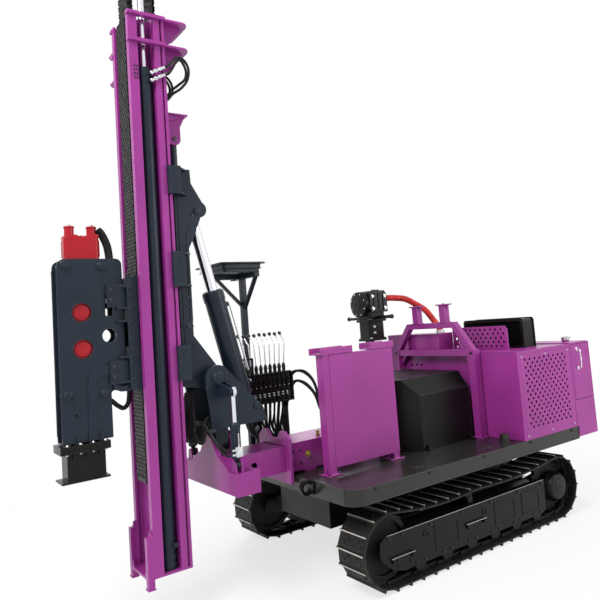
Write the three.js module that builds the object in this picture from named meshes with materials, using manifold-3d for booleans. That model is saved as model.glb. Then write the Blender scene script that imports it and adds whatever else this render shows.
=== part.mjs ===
// Tracked pile driver rig: a hydraulic hammer on a tilting mast, carried by a
// low crawler chassis. Millimetres, +X forward to the mast, +Y left, +Z up.
import * as THREE from 'three';
import { mergeVertices } from 'three/addons/utils/BufferGeometryUtils.js';
import Module from 'manifold-3d';

const wasm = await Module();
wasm.setup();

// ---------------------------------------------------------------- clearances
const SEAT = 0.3;         // gap between two pieces that rest on each other
const PIN_GAP = 0.8;      // radial gap of a pin in its bore
const GUIDE = 0.8;        // gap of a slide on the face that carries it
const RUN = 6;            // gap beside a sliding guide

// ---------------------------------------------------------- driving dimensions
const track = {
  length: 2900, height: 650, shoe: 360, gauge: 1880, shoes: 46,
  grouser: 22, belt: 60, carrierX: 100, carrierDrop: 45, sagFront: 42, sagRear: 34,
};
const frameBeam = { width: 180, bottom: 150, top: 430, plate: 28 };
const roller = { radius: 70, width: 240, count: 6, first: -800, last: 790 };
const carrier = { radius: 45, width: 150 };
const idler = { width: 110, hub: 60 };
const sprocket = { teeth: 21, depth: 26, width: 46, hub: 130 };

const chassis = { front: 1250, rear: -1250, width: 840, bottom: 380 };
const crossBeam = { at: 620, width: 240, bottom: 230, height: 200 };
const deck = {
  front: 1480, rear: -1580, width: 2220, top: 865, depth: 132, plate: 12, corner: 130,
  stopX: -530, stopY: 965, stopRadius: 48, stopHeight: 85,
};

const sleeve = { rear: 470, front: 1500, wall: 14, clear: 5 };
const collar = { thick: 30, halfWidth: 272, bottom: 800, top: 1250 };
const beam = { tail: 830, width: 380, height: 220, bottom: 900 };
const crossHead = { rear: 1960, front: 2170, width: 1040, bottom: 880, endTop: 1055, endLength: 130 };
const swingPin = { z: 1240, radius: 36, ear: 40, earRadius: 85 };

const swing = {
  plate: 30, outer: 240, front: 2225, rear: 1712, bottom: 1390, floor: 22,
  pivotX: 2150, pivotZ: 1805, pinRadius: 45, boss: 110,
  baseX: 1800, baseZ: 1532, basePin: 32, lug: 80,
};
const sideCylinder = {
  x: 2120, y: 440, topZ: 1698, footZ: 1115, pin: 20, eye: 42,
  barrel: 40, rod: 20, gland: 330, reach: 420, play: 2.5, fork: 20, ear: 14,
};
const tilt = {
  topX: 2210, topZ: 3240, pin: 34, eye: 62, barrel: 90, rod: 50, gland: 1040, eyeWidth: 100, reach: 1000,
};

const mast = {
  rear: 2445, front: 2750, halfWidth: 215, railDepth: 75, flangeDepth: 90,
  waist: 65, web: 15, bottom: 372, top: 4905, groove: 160, tunnel: 50,
  chainWay: 125, chainWayFront: 2510, keyRear: 2712, keyFront: 2730, keyDepth: 18,
  gripRear: 2467, gripFront: 2485, gripDepth: 25,
};
const foot = { plate: 16, leg: 50, legBottom: 287, legTop: 670 };
const headPlate = { thick: 15, tip: 2220, levels: [mast.top - 245, mast.top - 15], gusset: 200, band: 25 };
const hoseEar = { levels: [mast.top - 455, mast.top - 205], reach: 160, width: 75, thick: 14, gusset: 110 };
const hoist = { barrel: 56, rod: 27, x: 2605, y: 135, top: mast.top - 475, reach: 2200 };
const crosshead = { bottom: mast.top + 595, height: 90, sheave: 65, sheaveWidth: 246, lift: 80, offset: 30 };
const chain = { width: 240, thick: 56, bottom: 1050 };

const support = {
  plate: 25, halfWidth: 145, web: 25, webFront: 2405, top: 3600, backX: 2300,
  levels: [[1822, 2105], [2584, 2877], [3361, 3600]], guide: 32,
};
const lift = {
  x: 2335, barrel: 42, rod: 34, bottom: 2250, top: support.top, pinZ: support.top + 290,
  bracketTop: support.top + 510,
};

const carriage = { bottom: 1790, top: 2690, side: 30, plate: 44, level: 290 };
const hammer = {
  front: 3335, back: 2850, lowerBack: 2970, bottom: 1450, top: 2840, waist: 1850,
  halfWidth: 85, plate: 20, bodyFront: 3265, bodyBack: 3005, bodyHalf: 62, bodyTop: 3020,
  port: 72, lifting: 54, capRadius: 36, capHeight: 75,
};
const cap = {
  front: 3310, back: 3035, half: 90, top: 1380, bottom: 1180, wall: 24, foot: 14, depth: 150, flange: 35,
};

const guard = { front: 1306, rear: 509, inner: 460, outer: 569, top: 1970, post: 70, plate: 12 };
const cradle = {
  x: -600, post: 90, footY: 600, postTop: 1780, barY: 360, barTop: 2080, studY: 220, studTop: 2285,
};
const tank = { front: 400, rear: -540, inner: -540, outer: 545, top: 1560 };
const hood = { front: -660, rear: -1556, half: 1118, top: 1741, sheet: 22, roof: 24 };
const intake = { front: -660, rear: -900, right: -850, left: 30, top: 1955, sheet: 20 };
const filler = { x: -1770, y: 930, radius: 42, height: 55 };
const rearBox = { rear: -1919, top: 1752, bottom: 752, seam: 1139, doorEdge: 16, doorGap: 5 };
const cooler = { front: -1130, rear: -1330, inner: 0, outer: 860, top: 2070, sheet: 30 };
const screen = { x: -900, inner: 30, outer: 820, top: 2000, sheet: 20 };
const engine = { front: -760, rear: -1480, half: 420, top: 1500 };
const head = {
  x: -190, y: -570, half: 130, block: 155, bottom: 1930, top: 2520, stand: 60, arms: 2195, armRight: 420, armLeft: 370,
};
const valves = {
  front: 1600, rear: 1010, inner: -430, outer: -600, bottom: 1430, top: 1760, post: 50, postX: [1070, 1395],
};
const lever = { count: 10, radius: 7, height: 290, tip: 350, lean: 70, knob: 17 };
const canopy = {
  front: 1740, rear: 1230, inner: -430, outer: -1080, bottom: 2760, top: 2860,
  postX: 1330, postY: -800, post: 60, bearer: 50,
};

// ------------------------------------------------------------------ materials
const PAINT = {
  purple: [0x9b4b8f, 0.42, 0.1],
  steelBlue: [0x2f3a45, 0.45, 0.3],
  black: [0x1e1d1a, 0.6, 0.2],
  red: [0xa81828, 0.4, 0.1],
  chrome: [0xd8dade, 0.12, 1.0],
  rubber: [0x161616, 0.8, 0.0],
};

function material(kind) {
  const [color, roughness, metalness] = PAINT[kind];
  return new THREE.MeshStandardMaterial({ color, roughness, metalness });
}

// --------------------------------------------------------------- solid helpers
function toSolid(geometry) {
  const bare = geometry.clone();
  bare.deleteAttribute('normal');
  bare.deleteAttribute('uv');
  const merged = mergeVertices(bare, 1e-3);
  return new wasm.Manifold(new wasm.Mesh({
    numProp: 3,
    vertProperties: new Float32Array(merged.attributes.position.array),
    triVerts: new Uint32Array(merged.index.array),
  }));
}

function toGeometry(solid) {
  const mesh = solid.getMesh();
  const geometry = new THREE.BufferGeometry();
  geometry.setAttribute('position', new THREE.BufferAttribute(mesh.vertProperties, 3));
  geometry.setIndex(new THREE.BufferAttribute(mesh.triVerts, 1));
  geometry.computeVertexNormals();
  return geometry;
}

const join = (solids) => solids.reduce((sum, solid) => sum.add(solid));
const cut = (solid, tools) => tools.reduce((rest, tool) => rest.subtract(tool), solid);

function box(x0, x1, y0, y1, z0, z1) {
  const geometry = new THREE.BoxGeometry(Math.abs(x1 - x0), Math.abs(y1 - y0), Math.abs(z1 - z0));
  geometry.translate((x0 + x1) / 2, (y0 + y1) / 2, (z0 + z1) / 2);
  return toSolid(geometry);
}

function extruded(points, depth, holes = []) {
  const outline = points.map(([a, b]) => new THREE.Vector2(a, b));
  if (THREE.ShapeUtils.isClockWise(outline)) outline.reverse();
  const shape = new THREE.Shape(outline);
  holes.forEach((hole) => shape.holes.push(new THREE.Path(hole.map(([a, b]) => new THREE.Vector2(a, b)))));
  return new THREE.ExtrudeGeometry(shape, { depth, bevelEnabled: false, steps: 1 });
}

// A plate with its outline in X and Z, from y0 to y1.
function plateY(points, y0, y1, holes = []) {
  const geometry = extruded(points, Math.abs(y1 - y0), holes);
  geometry.rotateX(Math.PI / 2);
  geometry.translate(0, Math.max(y0, y1), 0);
  return toSolid(geometry);
}

// A plate with its outline in Y and Z, from x0 to x1.
function plateX(points, x0, x1, holes = []) {
  const geometry = extruded(points, Math.abs(x1 - x0), holes);
  geometry.applyMatrix4(new THREE.Matrix4().makeBasis(
    new THREE.Vector3(0, 1, 0), new THREE.Vector3(0, 0, 1), new THREE.Vector3(1, 0, 0)));
  geometry.translate(Math.min(x0, x1), 0, 0);
  return toSolid(geometry);
}

// A plate with its outline in X and Y, from z0 to z1.
function plateZ(points, z0, z1, holes = []) {
  const geometry = extruded(points, Math.abs(z1 - z0), holes);
  geometry.translate(0, 0, Math.min(z0, z1));
  return toSolid(geometry);
}

// A round bar between two points.
function rod(from, to, radius, sides = 18) {
  const start = new THREE.Vector3(...from);
  const end = new THREE.Vector3(...to);
  const geometry = new THREE.CylinderGeometry(radius, radius, start.distanceTo(end), sides);
  geometry.applyQuaternion(new THREE.Quaternion().setFromUnitVectors(
    new THREE.Vector3(0, 1, 0), end.clone().sub(start).normalize()));
  geometry.translate(...start.clone().add(end).multiplyScalar(0.5).toArray());
  return toSolid(geometry);
}

// A tube with round section along a smooth route.
function tube(points, radius, steps, sides = 8) {
  const circle = new THREE.Shape(arc(0, 0, radius, 0, 360, sides).slice(0, -1)
    .map(([a, b]) => new THREE.Vector2(a, b)));
  const route = new THREE.CatmullRomCurve3(points.map((point) => new THREE.Vector3(...point)));
  return toSolid(new THREE.ExtrudeGeometry(circle, { steps, bevelEnabled: false, extrudePath: route }));
}

function arc(cx, cy, radius, fromDeg, toDeg, steps) {
  return Array.from({ length: steps + 1 }, (_, i) => {
    const angle = THREE.MathUtils.degToRad(fromDeg + ((toDeg - fromDeg) * i) / steps);
    return [cx + radius * Math.cos(angle), cy + radius * Math.sin(angle)];
  });
}

const disc = (cx, cy, radius, sides = 18) => arc(cx, cy, radius, 0, 360, sides).slice(0, -1);

// A rectangle with all four corners rounded.
function rounded(x0, x1, y0, y1, radius, steps = 4) {
  return [
    ...arc(x1 - radius, y0 + radius, radius, -90, 0, steps),
    ...arc(x1 - radius, y1 - radius, radius, 0, 90, steps),
    ...arc(x0 + radius, y1 - radius, radius, 90, 180, steps),
    ...arc(x0 + radius, y0 + radius, radius, 180, 270, steps),
  ];
}

const both = (make) => join([make(-1), make(1)]);

// ------------------------------------------------------------------ assembly
const rig = new THREE.Group();
const groups = {};
for (const name of ['chassis', 'beam', 'swing', 'mastTilt', 'mastSlide', 'hammer', 'crosshead']) {
  groups[name] = new THREE.Group();
}
rig.add(groups.chassis);
groups.chassis.add(groups.beam);
groups.beam.add(groups.swing);
groups.swing.add(groups.mastTilt);
groups.mastTilt.add(groups.mastSlide);
groups.mastSlide.add(groups.hammer, groups.crosshead);

function add(group, name, kind, solid) {
  const mesh = new THREE.Mesh(toGeometry(solid), material(kind));
  mesh.name = name;
  groups[group].add(mesh);
}

// ------------------------------------------------------------- undercarriage
const trackRadius = track.height / 2;
const wheelX = track.length / 2 - trackRadius;
const trackY = track.gauge / 2;
const wheelRadius = trackRadius - track.belt - 2;
const frameReach = wheelX - wheelRadius - 12;

// Top run: level where it leaves each wheel, hanging between them.
const hang = (x, x0, z0, x1, z1, sag) => {
  const t = (x - x0) / (x1 - x0);
  return z0 + (z1 - z0) * THREE.MathUtils.smoothstep(t, 0, 1) - sag * Math.sin(Math.PI * t) ** 2;
};

// The line of the grouser tips, walked once round from the front of the bottom run.
function trackLine() {
  const points = [];
  const stepX = 40;
  const crestZ = track.height - track.carrierDrop;
  for (let x = wheelX; x > -wheelX; x -= stepX) points.push([x, 0]);
  for (const [x, z] of arc(-wheelX, trackRadius, trackRadius, 270, 90, 48)) points.push([x, z]);
  for (let x = -wheelX + stepX; x < track.carrierX; x += stepX) {
    points.push([x, hang(x, -wheelX, track.height, track.carrierX, crestZ, track.sagRear)]);
  }
  for (let x = track.carrierX; x < wheelX; x += stepX) {
    points.push([x, hang(x, track.carrierX, crestZ, wheelX, track.height, track.sagFront)]);
  }
  for (const [x, z] of arc(wheelX, trackRadius, trackRadius, 90, -90, 48)) points.push([x, z]);
  const lengths = [0];
  for (let i = 1; i < points.length; i += 1) {
    lengths.push(lengths[i - 1] + Math.hypot(points[i][0] - points[i - 1][0], points[i][1] - points[i - 1][1]));
  }
  return { points, lengths, total: lengths[lengths.length - 1] };
}

// The point at a distance along the line, moved inwards from the grouser tips.
function alongTrack(line, distance, inward) {
  const at = Math.min(Math.max(distance, 0), line.total - 1e-6);
  let i = 1;
  while (line.lengths[i] <= at) i += 1;
  const [ax, az] = line.points[i - 1];
  const [bx, bz] = line.points[i];
  const length = line.lengths[i] - line.lengths[i - 1];
  const t = (at - line.lengths[i - 1]) / length;
  const inX = (bz - az) / length;
  const inZ = -(bx - ax) / length;
  return [ax + (bx - ax) * t + inX * inward, az + (bz - az) * t + inZ * inward];
}

function trackLoop(side) {
  const line = trackLine();
  const pitch = line.total / track.shoes;
  const outer = [];
  const inner = [];
  for (let shoe = 0; shoe < track.shoes; shoe += 1) {
    const start = shoe * pitch;
    outer.push(alongTrack(line, start, track.grouser));
    outer.push(alongTrack(line, start + pitch * 0.12, 0));
    outer.push(alongTrack(line, start + pitch * 0.28, 0));
    outer.push(alongTrack(line, start + pitch * 0.4, track.grouser));
    for (const share of [0, 0.25, 0.5, 0.75]) inner.push(alongTrack(line, start + pitch * share, track.belt));
  }
  const y = side * trackY;
  return plateY(outer, y - track.shoe / 2, y + track.shoe / 2, [inner]);
}

function rollerX(index) {
  return roller.first + ((roller.last - roller.first) * index) / (roller.count - 1);
}

function trackFrame(side) {
  const y = side * trackY;
  const half = frameBeam.width / 2;
  const inner = y - side * half;
  const beamBody = box(-frameReach, frameReach, y - half, y + half, frameBeam.bottom, frameBeam.top);
  const parts = [beamBody];
  const rollerZ = track.belt + SEAT * 2 + roller.radius;
  for (let i = 0; i < roller.count; i += 1) {
    parts.push(rod([rollerX(i), y - roller.width / 2, rollerZ], [rollerX(i), y + roller.width / 2, rollerZ],
      roller.radius, 14));
  }
  const crestZ = track.height - track.carrierDrop - track.belt;
  const carrierZ = crestZ - carrier.radius - 4;
  parts.push(rod([track.carrierX, y - carrier.width / 2, carrierZ], [track.carrierX, y + carrier.width / 2, carrierZ],
    carrier.radius, 12));
  parts.push(box(track.carrierX - 30, track.carrierX + 30, y - half, y + half, frameBeam.top - 5, carrierZ));
  // Fork arms that carry the idler's axle.
  for (const edge of [-1, 1]) {
    const yOuter = y + edge * half;
    const yInner = y + edge * (half - frameBeam.plate);
    const arm = [
      [frameReach - 10, frameBeam.bottom + 30], [wheelX, trackRadius - idler.hub - 10],
      ...arc(wheelX, trackRadius, idler.hub + 10, -90, 90, 8), [frameReach - 10, frameBeam.top - 10],
    ];
    parts.push(plateY(arm, yInner, yOuter));
  }
  // Motor plate at the inner side that carries the sprocket.
  const motorPlate = [
    [-frameReach + 10, frameBeam.top - 10], ...arc(-wheelX, trackRadius, sprocket.hub, 90, 270, 12),
    [-frameReach + 10, frameBeam.bottom + 30],
  ];
  parts.push(plateY(motorPlate, inner, inner + side * frameBeam.plate));
  return join(parts);
}

function idlerWheel(side) {
  const y = side * trackY;
  const forkHalf = frameBeam.width / 2 - frameBeam.plate - SEAT;
  const wheel = join([
    rod([wheelX, y - idler.width / 2, trackRadius], [wheelX, y + idler.width / 2, trackRadius], wheelRadius, 36),
    rod([wheelX, y - forkHalf, trackRadius], [wheelX, y + forkHalf, trackRadius], idler.hub, 20),
  ]);
  const dish = (edge) => cut(
    rod([wheelX, y + edge * (idler.width / 2 - 25), trackRadius], [wheelX, y + edge * idler.width, trackRadius],
      wheelRadius - 40, 30),
    [rod([wheelX, y - idler.width * 2, trackRadius], [wheelX, y + idler.width * 2, trackRadius], idler.hub + 5, 20)]);
  return cut(wheel, [dish(-1), dish(1)]);
}

function driveSprocket(side) {
  const y = side * trackY;
  const outline = [];
  for (let tooth = 0; tooth < sprocket.teeth; tooth += 1) {
    const step = (2 * Math.PI) / sprocket.teeth;
    for (const [share, radius] of [[0, wheelRadius - sprocket.depth], [0.3, wheelRadius - sprocket.depth],
      [0.5, wheelRadius], [0.8, wheelRadius]]) {
      const angle = (tooth + share) * step;
      outline.push([-wheelX + radius * Math.cos(angle), trackRadius + radius * Math.sin(angle)]);
    }
  }
  const inner = y - side * (frameBeam.width / 2 - frameBeam.plate - SEAT);
  const outer = y + side * (frameBeam.width / 2 + 5);
  return join([
    plateY(outline, y - sprocket.width / 2, y + sprocket.width / 2),
    rod([-wheelX, inner, trackRadius], [-wheelX, outer, trackRadius], sprocket.hub - 8, 28),
  ]);
}

for (const [side, name] of [[1, 'left'], [-1, 'right']]) {
  add('chassis', `${name}_track`, 'black', trackLoop(side));
  add('chassis', `${name}_track_frame`, 'black', trackFrame(side));
  add('chassis', `${name}_idler`, 'black', idlerWheel(side));
  add('chassis', `${name}_sprocket`, 'black', driveSprocket(side));
}

const deckBottom = deck.top - deck.depth;

function carBody() {
  const half = chassis.width / 2;
  const reach = trackY - frameBeam.width / 2 - SEAT;
  const beams = [-1, 1].map((end) => box(
    end * crossBeam.at - crossBeam.width / 2, end * crossBeam.at + crossBeam.width / 2,
    -reach, reach, crossBeam.bottom, crossBeam.bottom + crossBeam.height));
  const top = deck.top - deck.plate - SEAT;
  return join([box(chassis.rear, chassis.front, -half, half, chassis.bottom, top), ...beams]);
}

function deckPan() {
  const half = deck.width / 2;
  const outline = [
    [deck.rear, -half], ...arc(deck.front - deck.corner, -half + deck.corner, deck.corner, -90, 0, 6),
    ...arc(deck.front - deck.corner, half - deck.corner, deck.corner, 0, 90, 6), [deck.rear, half],
  ];
  const pocket = box(deck.rear + deck.plate, deck.front - 90, -half + deck.plate, half - deck.plate,
    deckBottom - 10, deck.top - deck.plate);
  const stop = rod([deck.stopX, deck.stopY, deck.top - 2], [deck.stopX, deck.stopY, deck.top + deck.stopHeight],
    deck.stopRadius, 14);
  return cut(join([plateZ(outline, deckBottom, deck.top), stop]), [pocket]);
}

add('chassis', 'car_body', 'black', carBody());
add('chassis', 'deck', 'black', deckPan());

// -------------------------------------------------- telescopic beam and sleeve
const beamTop = beam.bottom + beam.height;

function beamSleeve() {
  const inY = beam.width / 2 + sleeve.clear;
  const inBottom = beam.bottom - GUIDE;
  const inTop = beamTop + sleeve.clear;
  const outY = inY + sleeve.wall;
  const opening = box(sleeve.rear - 10, sleeve.front + collar.thick + 10, -inY, inY, inBottom, inTop);
  const crest = [];
  for (const side of [1, -1]) {
    crest.push([side * collar.halfWidth, collar.top - 60], [side * 190, collar.top], [side * 120, collar.top]);
  }
  const plate = plateX([
    [-collar.halfWidth, collar.bottom], [collar.halfWidth, collar.bottom],
    crest[0], crest[1], crest[2], [60, collar.top - 70], [-60, collar.top - 70], crest[5], crest[4], crest[3],
  ], sleeve.front, sleeve.front + collar.thick);
  const feet = [0.15, 0.8].map((share) => {
    const x = sleeve.rear + (deck.front - sleeve.rear) * share;
    return box(x - 60, x + 60, -outY, outY, deck.top + SEAT, inBottom - 2);
  });
  return cut(join([
    box(sleeve.rear, sleeve.front + 1, -outY, outY, inBottom - sleeve.wall, inTop + sleeve.wall), plate, ...feet,
  ]), [opening]);
}

function extensionBeam() {
  const half = beam.width / 2;
  const hole = rod([crossHead.rear - 120, half - 40, beam.bottom + beam.height / 2],
    [crossHead.rear - 120, half + 10, beam.bottom + beam.height / 2], 32, 20);
  const shell = box(beam.tail, crossHead.rear - SEAT, -half, half, beam.bottom, beamTop);
  const hollow = box(beam.tail - 10, crossHead.rear - 40, -half + 16, half - 16, beam.bottom + 16, beamTop - 16);
  return cut(shell, [hollow, hole]);
}

// Two ears across X with a pin between them, for one end of a swing cylinder.
function swingFork(side, outline, pinZ) {
  const reach = sideCylinder.fork + sideCylinder.ear;
  const ears = [-1, 1].map((edge) => plateX(outline,
    sideCylinder.x + edge * sideCylinder.fork, sideCylinder.x + edge * reach));
  const pin = rod([sideCylinder.x - reach, side * sideCylinder.y, pinZ],
    [sideCylinder.x + reach, side * sideCylinder.y, pinZ], sideCylinder.pin, 16);
  return join([...ears, pin]);
}

function crossHeadFrame() {
  const half = crossHead.width / 2;
  const end = half - crossHead.endLength;
  const body = plateX([
    [-half, crossHead.bottom], [half, crossHead.bottom], [half, crossHead.endTop], [end, crossHead.endTop],
    [beam.width / 2 + 20, beamTop + 30], [-beam.width / 2 - 20, beamTop + 30],
    [-end, crossHead.endTop], [-half, crossHead.endTop],
  ], crossHead.rear, crossHead.front);
  const ear = (x0, x1) => plateX([
    [-170, beamTop], [170, beamTop], [170, beamTop + 40],
    ...arc(0, swingPin.z, swingPin.earRadius, 20, 160, 10), [-170, beamTop + 40],
  ], x0, x1);
  const clevis = (side) => swingFork(side, [
    [side * sideCylinder.y - 45, crossHead.endTop - 5], [side * sideCylinder.y + 45, crossHead.endTop - 5],
    ...arc(side * sideCylinder.y, sideCylinder.footZ, sideCylinder.eye - 8, 0, 180, 8),
  ], sideCylinder.footZ);
  return join([
    body, ear(crossHead.rear, crossHead.rear + swingPin.ear), ear(crossHead.front - swingPin.ear, crossHead.front),
    rod([crossHead.rear, 0, swingPin.z], [crossHead.front, 0, swingPin.z], swingPin.radius),
    both(clevis),
  ]);
}

add('chassis', 'beam_sleeve', 'purple', beamSleeve());
add('beam', 'extension_beam', 'purple', extensionBeam());
add('beam', 'cross_head', 'purple', crossHeadFrame());

// ------------------------------------------------------------- swing bracket
function swingBracket() {
  const inner = swing.outer - swing.plate;
  const outline = [
    [swing.rear, swing.bottom], [swing.front, swing.bottom], [swing.front, swing.bottom + 120],
    ...arc(swing.pivotX, swing.pivotZ, swing.boss, -20, 130, 10), [swing.rear + 30, swing.baseZ - 20],
  ];
  const plates = both((side) => plateY(outline, side * inner, side * swing.outer));
  const floor = box(swing.rear, swing.front, -inner - 1, inner + 1, swing.bottom, swing.bottom + swing.floor);
  const lugWidth = crossHead.front - crossHead.rear - 2 * swingPin.ear - 2 * RUN;
  const lugX = (crossHead.front + crossHead.rear) / 2;
  const lug = plateX([
    [swing.lug, swing.bottom + 5], [-swing.lug, swing.bottom + 5],
    ...arc(0, swingPin.z, swing.lug - 8, 180, 360, 14),
  ], lugX - lugWidth / 2, lugX + lugWidth / 2, [disc(0, swingPin.z, swingPin.radius + PIN_GAP)]);
  const pivot = rod([swing.pivotX, -swing.outer - 12, swing.pivotZ], [swing.pivotX, swing.outer + 12, swing.pivotZ],
    swing.pinRadius);
  const base = rod([swing.baseX, -swing.outer - 6, swing.baseZ], [swing.baseX, swing.outer + 6, swing.baseZ],
    swing.basePin, 20);
  const arms = both((side) => swingFork(side, [
    [side * (swing.outer - 5), sideCylinder.topZ + 70], [side * (swing.outer - 5), sideCylinder.topZ - 60],
    ...arc(side * sideCylinder.y, sideCylinder.topZ, sideCylinder.eye - 6, side > 0 ? -90 : 270, 90, 8),
  ], sideCylinder.topZ));
  return join([plates, floor, lug, pivot, base, arms]);
}

add('swing', 'swing_bracket', 'steelBlue', swingBracket());

// ------------------------------------------------------- hydraulic cylinders
// A round bar centred on a point, along X or Y as the pin axis says.
function across(point, pinAxis, length, radius, sides = 20) {
  const half = new THREE.Vector3(pinAxis === 'x' ? length / 2 : 0, pinAxis === 'y' ? length / 2 : 0, 0);
  const centre = new THREE.Vector3(...point);
  return rod(centre.clone().sub(half).toArray(), centre.clone().add(half).toArray(), radius, sides);
}

// Barrel with an eye at its foot, bored for its rod, along the line foot -> top.
function barrelSolid({ foot: from, to, radius, bore, length, eye, eyeWidth, pin, pinAxis }) {
  const start = new THREE.Vector3(...from);
  const direction = new THREE.Vector3(...to).sub(start).normalize();
  const at = (distance) => start.clone().addScaledVector(direction, distance).toArray();
  const body = join([
    across(from, pinAxis, eyeWidth, eye, 24),
    rod(at(eye * 0.6), at(eye + 25), eyeWidth / 2, 16),
    rod(at(eye + 20), at(length), radius, 24),
  ]);
  return cut(body, [
    across(from, pinAxis, eyeWidth * 2, pin + PIN_GAP),
    rod(at(eye + 60), at(length + 5), bore + PIN_GAP, 24),
  ]);
}

function rodSolid({ foot: from, to, radius, reach, eye, eyeWidth, bore, pinAxis }) {
  const end = new THREE.Vector3(...to);
  const direction = end.clone().sub(new THREE.Vector3(...from)).normalize();
  const at = (distance) => end.clone().addScaledVector(direction, -distance).toArray();
  const body = join([
    across(to, pinAxis, eyeWidth, eye, 24),
    rod(at(eye * 0.6), at(reach), radius, 24),
  ]);
  if (!bore) return body;
  return cut(body, [across(to, pinAxis, eyeWidth * 2, bore)]);
}

for (const [side, name] of [[1, 'left'], [-1, 'right']]) {
  const line = {
    foot: [sideCylinder.x, side * sideCylinder.y, sideCylinder.footZ],
    to: [sideCylinder.x, side * sideCylinder.y, sideCylinder.topZ],
    eyeWidth: 2 * (sideCylinder.fork - RUN), pin: sideCylinder.pin, pinAxis: 'x',
  };
  groups[`${name}Cylinder`] = new THREE.Group();
  groups.beam.add(groups[`${name}Cylinder`]);
  add(`${name}Cylinder`, `${name}_swing_cylinder`, 'steelBlue', barrelSolid({
    ...line, radius: sideCylinder.barrel, bore: sideCylinder.rod, length: sideCylinder.gland,
    eye: sideCylinder.eye - 8,
  }));
  add(`${name}Cylinder`, `${name}_swing_rod`, 'chrome', rodSolid({
    ...line, radius: sideCylinder.rod, reach: sideCylinder.reach, eye: sideCylinder.eye,
    bore: sideCylinder.pin + sideCylinder.play,
  }));
}

const tiltLine = {
  foot: [swing.baseX, 0, swing.baseZ], to: [tilt.topX, 0, tilt.topZ], eyeWidth: tilt.eyeWidth, pinAxis: 'y',
};
groups.tiltCylinder = new THREE.Group();
groups.swing.add(groups.tiltCylinder);
add('tiltCylinder', 'tilt_cylinder', 'steelBlue', barrelSolid({
  ...tiltLine, radius: tilt.barrel, bore: tilt.rod, length: tilt.gland, eye: tilt.eye, pin: swing.basePin,
}));
// The rod's eye is as wide as the slot between the mast support's plates, less a running gap.
add('tiltCylinder', 'tilt_rod', 'chrome', rodSolid({
  ...tiltLine, eyeWidth: 2 * (support.halfWidth - support.plate - RUN), radius: tilt.rod, reach: tilt.reach,
  eye: tilt.eye - 6,
}));

// -------------------------------------------------------------- mast support
function mastSupport() {
  const inner = support.halfWidth - support.plate;
  const webRear = support.webFront - support.web;
  const outline = [
    [support.webFront, support.top], [support.backX - 45, support.top], [support.backX - 50, support.top - 120],
    ...arc(tilt.topX - 20, tilt.topZ + 15, 70, 120, 260, 8), [support.backX - 60, tilt.topZ - 210],
    [support.backX, tilt.topZ - 330], [support.backX, swing.pivotZ + 370],
    ...arc(swing.pivotX, swing.pivotZ, swing.boss - 15, 130, 300, 12), [support.webFront, swing.pivotZ - 45],
  ];
  const hole = disc(swing.pivotX, swing.pivotZ, swing.pinRadius + PIN_GAP);
  const plates = both((side) => plateY(outline, side * inner, side * support.halfWidth, [hole]));
  const web = box(webRear, support.webFront, -inner - 1, inner + 1, swing.pivotZ - 45, support.top);
  const topPin = both((side) => rod([tilt.topX, side * (inner + 1), tilt.topZ],
    [tilt.topX, side * (support.halfWidth + 10), tilt.topZ], tilt.pin, 16));
  const guides = support.levels.map(([low, high]) => both((side) => {
    const near = mast.halfWidth + 3;
    const play = 1.5;
    return join([
      box(webRear, mast.rear - 3, side * inner, side * (near + support.guide), low, high),
      box(mast.rear - 4, mast.gripFront - play, side * near, side * (near + support.guide), low, high),
      box(mast.gripRear + play, mast.gripFront - play, side * (near - mast.gripDepth + 1), side * (near + 1), low, high),
    ]);
  }));
  const foot = join([
    box(lift.x - lift.barrel, webRear + 1, -inner - 1, inner + 1, lift.bottom - 40, lift.bottom - SEAT),
  ]);
  return join([plates, web, topPin, foot, ...guides]);
}

function liftBarrel() {
  return cut(rod([lift.x, 0, lift.bottom], [lift.x, 0, lift.top], lift.barrel), [
    rod([lift.x, 0, lift.bottom + 90], [lift.x, 0, lift.top + 5], lift.rod + PIN_GAP),
  ]);
}

add('mastTilt', 'mast_support', 'steelBlue', mastSupport());
add('mastTilt', 'mast_lift_cylinder', 'black', liftBarrel());

// ---------------------------------------------------------------------- mast
const railBack = mast.front - mast.railDepth;
const flangeFront = mast.rear + mast.flangeDepth;

function mastBeam() {
  const side = (s) => [
    [mast.rear, s * mast.halfWidth], [mast.gripRear, s * mast.halfWidth],
    [mast.gripRear, s * (mast.halfWidth - mast.gripDepth)], [mast.gripFront, s * (mast.halfWidth - mast.gripDepth)],
    [mast.gripFront, s * mast.halfWidth], [flangeFront, s * mast.halfWidth], [flangeFront, s * mast.waist],
    [railBack, s * mast.waist], [railBack, s * mast.halfWidth], [mast.front, s * mast.halfWidth],
    [mast.front, s * mast.groove], [mast.keyFront, s * mast.groove],
    [mast.keyFront, s * (mast.groove + mast.keyDepth)], [mast.keyRear, s * (mast.groove + mast.keyDepth)],
    [mast.keyRear, s * mast.groove], [railBack + mast.web, s * mast.groove],
  ];
  const outline = [...side(-1), ...side(1).reverse()];
  // The way down the middle is wide behind, where the chain runs, and narrow in front of that.
  const way = (s) => [
    [mast.rear + mast.web, s * mast.chainWay], [mast.chainWayFront, s * mast.chainWay],
    [mast.chainWayFront, s * mast.tunnel], [railBack, s * mast.tunnel],
  ];
  const tunnel = [...way(-1), ...way(1).reverse()];
  return plateZ(outline, mast.bottom, mast.top, [tunnel]);
}

function mastFoot() {
  const plate = box(mast.rear, mast.front + foot.leg, -mast.halfWidth, mast.halfWidth,
    mast.bottom - foot.plate, mast.bottom + 1);
  const legs = both((side) => box(mast.front - 1, mast.front + foot.leg,
    side * (mast.halfWidth - foot.leg), side * mast.halfWidth, foot.legBottom, foot.legTop));
  return join([plate, legs]);
}

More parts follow.
